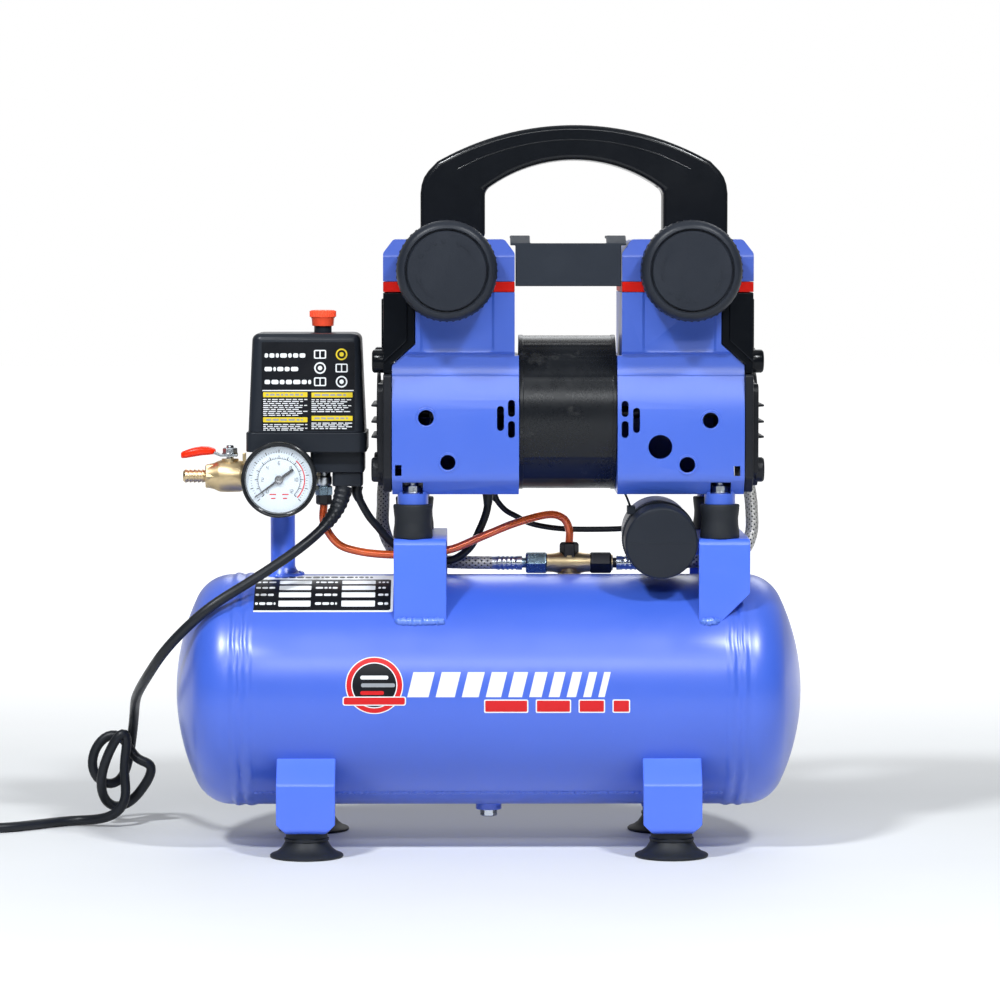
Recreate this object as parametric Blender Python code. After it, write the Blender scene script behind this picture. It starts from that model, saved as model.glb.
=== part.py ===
"""A twin-cylinder oil-free air compressor on a small horizontal tank.

The frame is the machine's own: +X runs along the tank, +Y away from its front, +Z up.
The origin is on the floor, under the middle of the machine. Sizes below are in millimetres.
"""

import math

import bmesh
import bpy
from mathutils import Matrix, Vector

MM = 0.001
GAP = 0.3

TANK_Z = 108.0
TANK_R = 80.0
TANK_WALL = 2.5
TANK_END = 217.0
KNUCKLE_R = 27.0
CROWN_R = 150.0
SEAM_X = 168.5

FOOT_X = 124.5
FOOT_Y = 65.0
FOOT_H = 17.2
FOOT_BRACKET_WIDE = 40.0
SHEET = 3.0

PUMP_X = 54.0
SHAFT_Z = 301.0
BORE_U = 82.5
THROW = 5.0
MOUNT_X = (-52.0, 158.0)
MOUNT_Y = 45.0
MOUNT_TOP = 239.5
BRACKET_TOP = 216.5

RISER_X = -143.0
PORT_Z = 256.5
GAUGE_Y = -52.0
VALVE_X = -179.5
TEE_X = 56.5
TEE_Y = 20.0
TEE_Z = 194.5
CORD_D = 7.0

MATERIALS = {
    "blue_paint": ((0.060, 0.150, 0.750), 0.32, 0.0),
    "head_blue": ((0.045, 0.110, 0.560), 0.40, 0.0),
    "red_plastic": ((0.750, 0.030, 0.020), 0.38, 0.0),
    "black_plastic": ((0.018, 0.020, 0.024), 0.42, 0.0),
    "rubber": ((0.020, 0.022, 0.025), 0.70, 0.0),
    "steel": ((0.560, 0.570, 0.580), 0.30, 1.0),
    "brass": ((0.720, 0.520, 0.260), 0.32, 1.0),
    "copper": ((0.800, 0.300, 0.140), 0.25, 1.0),
    "aluminium": ((0.620, 0.630, 0.640), 0.40, 1.0),
    "laminations": ((0.200, 0.200, 0.210), 0.50, 1.0),
    "braid": ((0.300, 0.310, 0.320), 0.40, 0.8),
    "dial_black": ((0.030, 0.030, 0.032), 0.30, 0.0),
}


def clear_scene():
    for thing in list(bpy.data.objects):
        bpy.data.objects.remove(thing, do_unlink=True)


def material(name):
    found = bpy.data.materials.get(name)
    if found:
        return found
    colour, roughness, metallic = MATERIALS[name]
    made = bpy.data.materials.new(name)
    made.use_nodes = True
    shader = made.node_tree.nodes["Principled BSDF"]
    shader.inputs["Base Color"].default_value = (*colour, 1.0)
    shader.inputs["Roughness"].default_value = roughness
    shader.inputs["Metallic"].default_value = metallic
    made.diffuse_color = (*colour, 1.0)
    return made


def outward(shape):
    bmesh.ops.recalc_face_normals(shape, faces=shape.faces)
    return shape


def turned(outline, axis, centre, segments=32):
    """A solid of revolution. The outline holds (radius, along) points; a radius of 0 is on the axis."""
    shape = bmesh.new()
    rings = []
    for radius, along in outline:
        count = segments if radius > 0 else 1
        ring = []
        for k in range(count):
            angle = 2 * math.pi * k / segments
            a, b = radius * math.cos(angle), radius * math.sin(angle)
            local = {"X": (along, a, b), "Y": (b, along, a), "Z": (a, b, along)}[axis]
            ring.append(shape.verts.new([c + d for c, d in zip(centre, local)]))
        rings.append(ring)
    for k, ring in enumerate(rings):
        after = rings[(k + 1) % len(rings)]
        if len(ring) == 1 and len(after) == 1:
            continue
        for j in range(segments):
            i = (j + 1) % segments
            if len(ring) == 1:
                shape.faces.new((ring[0], after[j], after[i]))
            elif len(after) == 1:
                shape.faces.new((ring[j], ring[i], after[0]))
            else:
                shape.faces.new((ring[j], ring[i], after[i], after[j]))
    return outward(shape)


def prism(outline, axis, low, high):
    """An outline pushed along an axis: (y, z) points for X, (x, z) for Y and (x, y) for Z."""
    shape = bmesh.new()
    ends = []
    for along in (low, high):
        end = []
        for a, b in outline:
            spot = {"X": (along, a, b), "Y": (a, along, b), "Z": (a, b, along)}[axis]
            end.append(shape.verts.new(spot))
        ends.append(end)
    count = len(outline)
    shape.faces.new(ends[0])
    shape.faces.new(ends[1])
    for k in range(count):
        j = (k + 1) % count
        shape.faces.new((ends[0][k], ends[0][j], ends[1][j], ends[1][k]))
    return outward(shape)


def block(low, high):
    outline = [(low[0], low[1]), (high[0], low[1]), (high[0], high[1]), (low[0], high[1])]
    return prism(outline, "Z", low[2], high[2])


def rod(radius, axis, centre, low, high, segments=20):
    return turned([(0, low), (radius, low), (radius, high), (0, high)], axis, centre, segments)


def hexagon(flat, axis, centre, low, high):
    """A six-sided bar, flat to flat, with a flat side down."""
    shape = rod(flat / math.sqrt(3), axis, (0, 0, 0), low, high, 6)
    bmesh.ops.translate(shape, verts=shape.verts, vec=Vector(centre))
    return shape


def soften(shape, width, segments=2, over=40.0, only=None):
    """Rounds the edges that turn by more than an angle, or those of them that a test picks."""
    picked = []
    for edge in shape.edges:
        if len(edge.link_faces) == 2 and math.degrees(edge.calc_face_angle()) > over:
            if only is None or only(edge):
                picked.append(edge)
    bmesh.ops.bevel(
        shape,
        geom=picked,
        offset=width,
        offset_type="OFFSET",
        segments=segments,
        profile=0.5,
        affect="EDGES",
        clamp_overlap=True,
    )
    return shape


def as_object(shape, name):
    mesh = bpy.data.meshes.new(name)
    shape.to_mesh(mesh)
    shape.free()
    made = bpy.data.objects.new(name, mesh)
    bpy.context.collection.objects.link(made)
    return made


def combine(base, tool, operation):
    """Cuts a tool out of a base, or joins it on, and gives the new solid."""
    target = as_object(base, "target")
    helper = as_object(tool, "helper")
    modifier = target.modifiers.new("combine", "BOOLEAN")
    modifier.operation = operation
    modifier.solver = "EXACT"
    modifier.object = helper
    graph = bpy.context.evaluated_depsgraph_get()
    result = bmesh.new()
    result.from_object(target, graph)
    for thing in (target, helper):
        mesh = thing.data
        bpy.data.objects.remove(thing, do_unlink=True)
        bpy.data.meshes.remove(mesh)
    return result


def cut(base, *tools):
    for tool in tools:
        base = combine(base, tool, "DIFFERENCE")
    return base


def join(base, *tools):
    for tool in tools:
        base = combine(base, tool, "UNION")
    return base


def place(name, shape, look, pivot=(0, 0, 0), smooth=32.0):
    """Turns a finished shape into a named object with its origin at the pivot."""
    bmesh.ops.remove_doubles(shape, verts=shape.verts, dist=0.0005)
    bmesh.ops.translate(shape, verts=shape.verts, vec=-Vector(pivot))
    bmesh.ops.scale(shape, verts=shape.verts, vec=(MM, MM, MM))
    made = as_object(shape, name)
    made.location = Vector(pivot) * MM
    made.data.materials.append(material(look))
    made.data.shade_smooth()
    made.data.set_sharp_from_angle(angle=math.radians(smooth))
    return made


def smooth_line(points, step):
    """Points a step apart on a smooth curve through the route's own points."""
    route = [Vector(p) for p in points]
    padded = [route[0] * 2 - route[1], *route, route[-1] * 2 - route[-2]]
    dense = []
    for k in range(1, len(padded) - 2):
        a, b, c, d = padded[k - 1 : k + 3]
        for j in range(24):
            t = j / 24
            square = (2 * a - 5 * b + 4 * c - d) * t**2
            cube = (3 * b - a - 3 * c + d) * t**3
            dense.append(0.5 * (2 * b + (c - a) * t + square + cube))
    dense.append(route[-1])
    lengths = [0.0]
    for a, b in zip(dense, dense[1:]):
        lengths.append(lengths[-1] + (b - a).length)
    count = max(2, round(lengths[-1] / step))
    spaced, j = [], 0
    for k in range(count + 1):
        want = lengths[-1] * k / count
        while j < len(dense) - 2 and lengths[j + 1] < want:
            j += 1
        share = (want - lengths[j]) / max(lengths[j + 1] - lengths[j], 1e-9)
        spaced.append(dense[j].lerp(dense[j + 1], share))
    return spaced


def hose(name, points, diameter, step, look, resolution=2):
    """A round tube along a smooth route, with closed ends."""
    curve = bpy.data.curves.new(name, "CURVE")
    curve.dimensions = "3D"
    curve.bevel_depth = diameter / 2 * MM
    curve.bevel_resolution = resolution
    curve.use_fill_caps = True
    line = smooth_line(points, step)
    start, after, before, end = [Vector(points[k]) for k in (0, 1, -2, -1)]
    line.insert(1, start + (after - start).normalized() * 2)
    line.insert(-1, end + (before - end).normalized() * 2)
    spline = curve.splines.new("POLY")
    spline.points.add(len(line) - 1)
    for point, at in zip(spline.points, line):
        point.co = (*(at * MM), 1.0)
        point.radius = 1.0
    made = bpy.data.objects.new(name, curve)
    bpy.context.collection.objects.link(made)
    curve.materials.append(material(look))
    return made


def tank_outline():
    """Half of the tank's outside from its middle to its tip: (radius, along) points."""
    centre_r = TANK_R - KNUCKLE_R
    crown_x = TANK_END - CROWN_R
    knuckle_x = crown_x + math.sqrt((CROWN_R - KNUCKLE_R) ** 2 - centre_r**2)
    last = math.atan2(centre_r, knuckle_x - crown_x)
    outline = [(TANK_R, SEAM_X - 3), (TANK_R + 1.3, SEAM_X), (TANK_R, SEAM_X + 3)]
    for k in range(5):
        angle = math.pi / 2 - (math.pi / 2 - last) * k / 4
        radius = centre_r + KNUCKLE_R * math.sin(angle)
        outline.append((radius, knuckle_x + KNUCKLE_R * math.cos(angle)))
    for k in (1, 2):
        angle = last * (1 - k / 3)
        outline.append((CROWN_R * math.sin(angle), crown_x + CROWN_R * math.cos(angle)))
    return [*outline, (0, TANK_END)]


def build_tank():
    half = tank_outline()
    outside = [(r, -x) for r, x in reversed(half)] + half
    inside_half = [(TANK_R - TANK_WALL, 179)]
    inside_half += [(r - TANK_WALL * 0.9, x - TANK_WALL * 0.5) for r, x in half[4:9:2]]
    inside_half += [(0, TANK_END - TANK_WALL)]
    inside = [(r, -x) for r, x in reversed(inside_half)] + inside_half
    centre = (0, 0, TANK_Z)
    shell = cut(turned(outside, "X", centre, 36), turned(inside, "X", centre, 18))
    for x, y in ((RISER_X, 0), (TEE_X, TEE_Y)):
        shell = cut(shell, rod(4.5, "Z", (x, y, 0), 160, 200, 12))
    shell = cut(shell, rod(4.5, "Z", (0, 0, 0), 20, 50, 12))
    place("tank", shell, "blue_paint", smooth=40)


def tank_cutter():
    return rod(TANK_R + GAP, "X", (0, 0, TANK_Z), -240, 240, 80)


def build_feet():
    for y_side, row in ((-1, "front"), (1, "rear")):
        outline = [
            (84, 17.5), (42, 17.5), (42, 20.5), (81, 20.5), (81, 49.8), (62, 70.7), (64, 73),
            (84, 51),
        ]
        outline = [(y_side * y, z) for y, z in outline]
        for x_side, side in ((-1, "left"), (1, "right")):
            x, y = x_side * FOOT_X, y_side * FOOT_Y
            wide = FOOT_BRACKET_WIDE / 2
            bracket = prism(outline, "X", x - wide, x + wide)
            bracket = cut(bracket, tank_cutter(), rod(3.3, "Z", (x, y, 0), 10, 30, 12))
            place(f"foot_bracket_{row}_{side}", bracket, "blue_paint")
            cup = [(0, 4.5), (22, 0), (25, 0), (25, 1.6), (19, 5), (14, 10.5)]
            cup += [(14, FOOT_H), (3, FOOT_H), (3, 27), (0, 27)]
            place(f"suction_foot_{row}_{side}", turned(cup, "Z", (x, y, 0), 16), "rubber")


def build_pump_brackets():
    outline = [(-60, 150), (-60, BRACKET_TOP), (60, BRACKET_TOP), (60, 150)]
    outline += [(57, 150), (57, BRACKET_TOP - SHEET), (-57, BRACKET_TOP - SHEET), (-57, 150)]
    for side, low, high, mount in (("left", -65, -29, MOUNT_X[0]), ("right", 143, 178, MOUNT_X[1])):
        bracket = cut(prism(outline, "X", low, high), tank_cutter())
        if side == "right":
            corner = [(150, 151.5), (190, 191.5), (190, 140), (150, 140)]
            bracket = cut(bracket, prism(corner, "Y", -70, 70))
        for y in (-MOUNT_Y, MOUNT_Y):
            bracket = cut(bracket, rod(3.3, "Z", (mount, y, 0), 200, 230, 12))
        place(f"pump_bracket_{side}", bracket, "blue_paint")


def build_rubber_mounts():
    for x, side in zip(MOUNT_X, ("left", "right")):
        for y, row in ((-MOUNT_Y, "front"), (MOUNT_Y, "rear")):
            outline = [(0, 209), (3, 209), (3, BRACKET_TOP + GAP), (13.5, BRACKET_TOP + GAP)]
            outline += [(13.5, MOUNT_TOP), (3, MOUNT_TOP), (3, 254.5), (0, 254.5)]
            place(f"rubber_mount_{row}_{side}", turned(outline, "Z", (x, y, 0), 14), "rubber")


def slot(x, low, high, wide):
    """An upright round-ended slot through the front wall."""
    radius = wide / 2
    outline = []
    for k in range(4):
        angle = math.pi * k / 3
        outline.append((x + radius * math.cos(angle), high - radius + radius * math.sin(angle)))
    for k in range(4):
        angle = math.pi + math.pi * k / 3
        outline.append((x + radius * math.cos(angle), low + radius + radius * math.sin(angle)))
    return prism(outline, "Y", -62, -50)


def front_openings(side):
    if side < 0:
        holes = [(-42.9, 299.1, 5.4), (-28.0, 268.7, 5.2)]
        slots = [(7.8, 290.2, 307.2), (15.3, 299.7, 311.3), (15.3, 285.4, 297.0)]
        window = block((-64, -62, 259.6), (-59.5, -50, 267))
    else:
        holes = [(150.8, 297.3, 5.4), (116.6, 279.3, 8.2), (135.0, 267.1, 5.4)]
        slots = [(92.6, 299.7, 310.6), (92.6, 285.4, 297.0), (100.4, 288.8, 305.9)]
        window = block((166.7, -62, 259.4), (171.1, -50, 266.2))
    tools = [rod(r, "Y", (x, 0, z), -62, -50, 12) for x, z, r in holes]
    tools += [slot(x, low, high, 4.8) for x, low, high in slots]
    return [*tools, window]


def across(side, *values):
    """Distances from the pump's middle, turned into X for the left or the right half."""
    return [PUMP_X + side * value for value in values]


def build_crankcase(side, name):
    inner, outer, wall, mouth = across(side, 33.6, 120, 40, 121)
    body = [
        (-48, 246.5), (48, 246.5), (58, 257), (58, 328), (54, 341), (-54, 341), (-58, 328),
        (-58, 257),
    ]
    shoulder = [(100, 352.2), (120.3, 334.3), (124, 334.3), (124, 356), (100, 356)]
    shoulder = [(PUMP_X + side * u, z) for u, z in shoulder]
    case = cut(prism(body, "X", inner, outer), prism(shoulder, "Y", -70, 70))
    column = [(36.5, 330), (119.9, 330), (119.9, 335), (104, 349), (104, 384.3), (36.5, 384.3)]
    column = [(PUMP_X + side * u, z) for u, z in column]
    case = join(case, prism(column, "Y", -54, 54))
    hollow = [
        (-46, 250.5), (46, 250.5), (54, 258.5), (54, 327), (50, 337), (-50, 337), (-54, 327),
        (-54, 258.5),
    ]
    case = cut(case, prism(hollow, "X", wall, mouth))
    low, high = sorted(across(side, 40.5, 105))
    bore_x = PUMP_X + side * BORE_U
    case = cut(
        case,
        block((low, -50, 349.7), (high, 50, 386)),
        rod(21, "Z", (bore_x, 0, 0), 330, 352, 18),
    )
    case = cut(case, rod(4.4, "X", (0, 0, SHAFT_Z), min(inner, wall) - 2, max(inner, wall) + 2, 20))
    mount = MOUNT_X[0] if side < 0 else MOUNT_X[1]
    for y in (-MOUNT_Y, MOUNT_Y):
        case = join(case, rod(10.5, "Z", (mount, y, 0), MOUNT_TOP + GAP, 248.5, 14))
        near, far = (-60, -37) if y < 0 else (37, 60)
        case = cut(case, rod(3.3, "Z", (mount, y, 0), 230, 260, 8))
        case = cut(case, block((mount - 7, near, 247.1), (mount + 7, far, 255)))
    case = cut(case, *front_openings(side))
    place(f"crankcase_{name}", case, "blue_paint")


def build_head(side, name):
    inner, outer = across(side, 36.5, 126)
    low, high = min(inner, outer), max(inner, outer)
    bore_x = PUMP_X + side * BORE_U
    gasket = block((low, -54, 384.3 + GAP), (high, 54, 391.5))
    gasket = cut(gasket, *[rod(6, "Z", (bore_x, y, 0), 380, 395, 16) for y in (-15, 15)])
    place(f"head_gasket_{name}", gasket, "red_plastic")
    outline = [
        (low, 391.8), (high, 391.8), (high, 411), (high - 9.5, 420.5), (low + 9.5, 420.5),
        (low, 411),
    ]
    head = prism(outline, "Y", -54, 54)
    head = join(
        head,
        rod(24, "Y", (bore_x, 0, 399), -60, -54.5, 28),
        block((bore_x - 14, -57, 393), (bore_x + 14, -50, 414)),
    )
    head = join(head, block((bore_x - 8, 50, 398), (bore_x + 8, 78, 412)))
    head = cut(
        head,
        block((low + 8, -46, 390), (high - 8, -2, 412)),
        block((low + 8, 2, 390), (high - 8, 46, 412)),
    )
    head = cut(head, rod(8, "Y", (bore_x, 0, 401), -64, -40, 20))
    place(f"cylinder_head_{name}", head, "head_blue")


def build_liner(side, name):
    outline = [(31, 350), (34, 350), (34, 384.3), (31, 384.3)]
    liner = turned(outline, "Z", (PUMP_X + side * BORE_U, 0, 0), 28)
    place(f"cylinder_liner_{name}", liner, "aluminium")


def build_side_cover(side, name):
    outline = [(104.3, 349.4), (104.3, 384.3), (126, 384.3), (126, 329), (120.4, 329), (120.4, 335.3)]
    outline = [(PUMP_X + side * u, z) for u, z in outline]
    cover = prism(outline, "Y", -54, 54)
    low, high = sorted(across(side, 103, 122.8))
    cover = cut(cover, block((low, -50.8, 349), (high, 50.8, 386)))
    for y in (-40, 40):
        reach = sorted(across(side, 124, 134))
        cover = join(cover, rod(8, "X", (0, y, 337.2), *reach, 16))
    place(f"side_cover_{name}", cover, "black_plastic")


def build_end_cover(side, name):
    edge = [(-47.5, 248), (47.5, 248), (57, 258), (57, 328.7), (-57, 328.7), (-57, 258)]
    cover = prism(edge, "X", *sorted(across(side, 120.4, 126)))
    raised = [(-40, 252), (40, 252), (50, 262), (50, 322), (-50, 322), (-50, 262)]
    cover = join(cover, prism(raised, "X", *sorted(across(side, 125, 130))))
    for z in (285.3, 295.7, 306.8):
        low, high = sorted(across(side, 129, 135))
        cover = join(cover, block((low, -38, z - 1), (high, 38, z + 1)))
        low, high = sorted(across(side, 118, 131))
        cover = cut(cover, block((low, -32, z - 5), (high, 32, z - 2)))
    for y in (-40, 40):
        cover = join(cover, rod(8.5, "X", (0, y, 263), *sorted(across(side, 129, 134.5)), 16))
    place(f"end_cover_{name}", cover, "black_plastic")


def build_air_filter(side, name):
    centre = (PUMP_X + side * BORE_U, 0, 399)
    outline = [(20, -60.3), (31, -60.3), (34, -64), (34, -85), (30.5, -90)]
    outline += [(27.8, -90), (26.9, -88.4), (26, -90), (0, -90), (0, -84), (20, -84)]
    cap = turned(outline, "Y", centre, 24)
    place(f"air_filter_{name}", cap, "black_plastic", pivot=centre)


def build_motor():
    centre = (0, 0, SHAFT_Z)
    shell = turned([(49.5, 20.7), (53, 20.7), (53, 87.3), (49.5, 87.3)], "X", centre, 40)
    place("motor_shell", shell, "black_plastic")
    stator = turned([(26.6, 34), (49.2, 34), (49.2, 74), (26.6, 74)], "X", centre, 32)
    place("stator_core", stator, "laminations")
    shaft = [(0, -62), (4, -62), (4, 34), (26, 34), (26, 74), (4, 74), (4, 170), (0, 170)]
    place("rotor", turned(shaft, "X", centre, 20), "laminations", pivot=(PUMP_X, 0, SHAFT_Z))


def build_fan(side, name):
    low, high = sorted(across(side, 104, 112))
    plate_low, plate_high = sorted(across(side, 104, 106))
    fan = rod(9, "X", (0, 0, SHAFT_Z), low, high, 16)
    fan = join(fan, rod(34, "X", (0, 0, SHAFT_Z), plate_low, plate_high, 24))
    for k in range(5):
        blade = block((low + 0.5, 7, -1), (high - 0.5, 32, 1))
        turn = Matrix.Rotation(2 * math.pi * (k + 0.13) / 5, 3, "X")
        bmesh.ops.rotate(blade, verts=blade.verts, matrix=turn)
        bmesh.ops.translate(blade, verts=blade.verts, vec=(0, 0, SHAFT_Z))
        fan = join(fan, blade)
    fan = cut(fan, rod(4.3, "X", (0, 0, SHAFT_Z), low - 2, high + 2, 14))
    place(f"fan_{name}", fan, "black_plastic", pivot=(PUMP_X + side * 108, 0, SHAFT_Z))


def build_crank(side, name):
    """The eccentric with its balance weight, and the one-piece rod and piston that it drives."""
    up = 1 if side < 0 else -1
    pin_z = SHAFT_Z + up * THROW
    bore_x = PUMP_X + side * BORE_U
    disc = rod(12, "X", (0, 0, pin_z), *sorted(across(side, 78, 87)), 24)
    weight_low, weight_high = sorted(across(side, 87, 95))
    half = []
    for k in range(9):
        angle = -up * math.pi * k / 8
        half.append((24 * math.cos(angle), SHAFT_Z + 24 * math.sin(angle)))
    joined = join(disc, rod(10, "X", (0, 0, SHAFT_Z), *sorted(across(side, 86.5, 95)), 16))
    joined = join(joined, prism(half, "X", weight_low, weight_high))
    joined = cut(joined, rod(4.3, "X", (0, 0, SHAFT_Z), bore_x - 20, bore_x + 20, 14))
    place(f"eccentric_{name}", joined, "steel", pivot=(bore_x, 0, SHAFT_Z))
    thick = sorted(across(side, 78.5, 86.5))
    link = rod(17, "X", (0, 0, pin_z), *thick, 24)
    link = join(link, block((thick[0], -7, pin_z + 14), (thick[1], 7, pin_z + 70)))
    link = join(link, rod(25.5, "Z", (bore_x, 0, 0), pin_z + 68, pin_z + 76, 28))
    link = cut(link, rod(12.3, "X", (0, 0, pin_z), thick[0] - 2, thick[1] + 2, 24))
    place(f"piston_rod_{name}", link, "aluminium", pivot=(bore_x, 0, pin_z))


def arch(half_wide, edge_z, top_z, count):
    """Points on a shallow arch from its left end to its right end."""
    rise = top_z - edge_z
    radius = (half_wide**2 + rise**2) / (2 * rise)
    spread = math.asin(half_wide / radius)
    points = []
    for k in range(count + 1):
        angle = spread * (2 * k / count - 1)
        points.append((58.8 + radius * math.sin(angle), top_z - radius + radius * math.cos(angle)))
    return points


def build_handle():
    outer = arch(94, 474, 499, 12)
    inner = arch(61.3, 454, 475, 10)
    outline = [
        (-47, 420.8), (-47, 452), (-44.5, 463), *outer, (162.1, 463), (164.6, 452),
        (164.6, 420.8),
    ]
    outline += [(120.1, 420.8), *reversed(inner), (-2.5, 420.8)]
    grip = prism(outline, "Y", -17, 17)

    def long_edge(edge):
        a, b = edge.verts
        along = abs(a.co.y - b.co.y) < 1
        return along and (min(a.co.z, b.co.z) > 421 or abs(a.co.z - b.co.z) > 5)

    grip = soften(grip, 4.5, 2, 60, long_edge)
    place("handle", grip, "black_plastic", smooth=50)


def build_cross_plate():
    plate = block((18, -52, 388.5), (90, -49.5, 417.7))
    plate = join(plate, block((18, -51, 415.5), (90, -42, 417.7)))
    ear = [(-52, 416), (-52, 417.7), (-36, 423), (-12, 423), (-12, 421), (-36, 421)]
    for low, high in ((14.5, 28), (80, 93.5)):
        plate = join(plate, prism(ear, "X", low, high))
    place("cross_plate", plate, "black_plastic")


def build_riser():
    outline = [(5.5, 176), (13, 176), (12.2, 189.5), (8.6, 193), (8.6, 245), (5.5, 245)]
    riser = cut(turned(outline, "Z", (RISER_X, 0, 0), 24), tank_cutter())
    place("riser_pipe", riser, "blue_paint")
    port = block((RISER_X - 12, -12, 245.3), (RISER_X + 12, 12, 274))
    port = soften(port, 2, 1)
    port = join(port, rod(6, "Y", (RISER_X, 0, PORT_Z), -30.7, -10, 20))
    port = join(port, rod(7, "X", (0, 0, PORT_Z), -162, -150, 20))
    port = join(
        port,
        hexagon(15, "Y", (RISER_X, 0, PORT_Z), 11, 24),
        rod(5.5, "Y", (RISER_X, 0, PORT_Z), 22, 38, 20),
    )
    port = cut(port, rod(5, "Z", (RISER_X, 0, 0), 240, 280, 16))
    place("port_manifold", port, "brass")


def build_gauge():
    centre = (RISER_X - 0.3, 0, PORT_Z)
    outline = [(0, -31), (22, -31), (26, -34), (26, GAUGE_Y + 1.5), (25, GAUGE_Y), (23.2, GAUGE_Y)]
    outline += [(22.8, -47.2), (0, -47.2)]
    case = turned(outline, "Y", centre, 24)
    case = cut(case, rod(1.3, "Y", centre, -50, -42, 12))
    place("gauge_case", case, "dial_black")
    needle = rod(3, "Y", (0, 0, 0), -50, -47.6, 16)
    pointer = [(-0.9, -11), (0.9, -11), (1.0, 0), (0.35, 20.5), (-0.35, 20.5), (-1.0, 0)]
    arm = prism([(-z, x) for x, z in pointer], "Y", -49.4, -48.2)
    bmesh.ops.rotate(arm, verts=arm.verts, matrix=Matrix.Rotation(math.radians(-35.8), 3, "Y"))
    needle = join(needle, arm, rod(1.0, "Y", (0, 0, 0), -48, -43, 12))
    bmesh.ops.translate(needle, verts=needle.verts, vec=Vector(centre))
    place("gauge_needle", needle, "dial_black", pivot=(centre[0], -48, centre[2]))


def build_ball_valve():
    centre = (0, 0, PORT_Z)
    outline = [(3, -212), (3.9, -212)]
    for k in range(3):
        x = -210.5 + 4.8 * k
        outline += [(4.6, x), (3.7, x + 4.2)]
    outline += [
        (3.7, -196.2), (5, -196), (9.2, -190.5), (11, -187), (11, -172), (9, -168), (9, -162.3),
        (3, -162.3),
    ]
    body = turned(outline, "X", centre, 16)
    body = join(body, hexagon(16, "X", centre, -196.4, -188.5))
    body = join(body, rod(6, "Z", (VALVE_X, 0, 0), 262, 268.5, 20))
    body = cut(body, rod(3, "X", centre, -214, -160, 16))
    body = cut(body, turned(ball_outline(8.4), "Z", (VALVE_X, 0, PORT_Z), 16))
    body = cut(body, rod(3.3, "Z", (VALVE_X, 0, 0), 256, 272, 16))
    place("ball_valve_body", body, "brass")
    ball = turned(ball_outline(7.9), "Z", (VALVE_X, 0, PORT_Z), 16)
    ball = join(ball, rod(2.9, "Z", (VALVE_X, 0, 0), 260, 271, 12))
    strip = [(-174, 270), (-186, 270), (-192, 272.5), (-200, 272.5), (-213, 268.6), (-213, 273)]
    strip += [(-200, 277.3), (-190, 277), (-184.5, 272), (-174, 272)]
    ball = join(ball, prism(strip, "Y", -5, 5), hexagon(9, "Z", (VALVE_X, 0, 0), 271.4, 276.5))
    ball = cut(ball, rod(3, "X", centre, VALVE_X - 12, VALVE_X + 12, 16))
    place("valve_lever", ball, "red_plastic", pivot=(VALVE_X, 0, PORT_Z))


def ball_outline(radius):
    points = [(0, -radius)]
    for k in range(1, 7):
        angle = math.pi * k / 7
        points.append((radius * math.sin(angle), -radius * math.cos(angle)))
    return [*points, (0, radius)]


def tapered_box(low, high, lean):
    """A box whose top is smaller all round."""
    shape = bmesh.new()
    for z, inset in ((low[2], 0), (high[2], lean)):
        for x, y in ((0, 0), (1, 0), (1, 1), (0, 1)):
            across = (low[0] + inset, high[0] - inset)[x]
            back = (low[1] + inset, high[1] - inset)[y]
            shape.verts.new((across, back, z))
    shape.verts.ensure_lookup_table()
    v = shape.verts
    for loop in ((0, 1, 2, 3), (4, 5, 6, 7), (0, 1, 5, 4), (1, 2, 6, 5), (2, 3, 7, 6), (3, 0, 4, 7)):
        shape.faces.new([v[k] for k in loop])
    return outward(shape)


def build_switch():
    def upright(edge):
        a, b = edge.verts
        return abs(a.co.z - b.co.z) > 5

    def not_bottom(edge):
        a, b = edge.verts
        return max(a.co.z, b.co.z) > 300

    base = soften(block((-167, -29.5, 274.3), (-84, 39.5, 288)), 6, 2, 40, upright)
    base = cut(base, block((-162, -25, 279), (-89, 35, 290)))
    base = join(base, block((-123, -22, 260), (-86, 24, 276)))
    base = join(
        base,
        rod(4.4, "Z", (-114.3, -5, 0), 238, 262, 20),
        hexagon(11, "Z", (-114.3, -5, 0), 240, 250),
    )
    place("switch_base", base, "black_plastic")
    cover = soften(tapered_box((-165.5, -28.5, 288.3), (-85.5, 38.5, 356), 3), 5, 2, 40, not_bottom)
    cover = cut(cover, tapered_box((-162.5, -25.5, 285), (-88.5, 35.5, 353), 3))
    cover = cut(cover, rod(6.5, "Z", (-115, 5, 0), 345, 360, 24))
    place("switch_cover", cover, "black_plastic")
    outline = [
        (0, 330), (6.1, 330), (6.1, 360.5), (7.7, 360.5), (7.7, 366.3), (9, 366.8), (9, 371),
        (8, 371.6), (0, 371.6),
    ]
    place("switch_knob", turned(outline, "Z", (-115, 5, 0), 24), "red_plastic", pivot=(-115, 5, 356))
    gland = soften(block((-108, -20, 250.5), (-87, 2, 259.7)), 1.5, 1)
    place("cord_gland", gland, "black_plastic")


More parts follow.
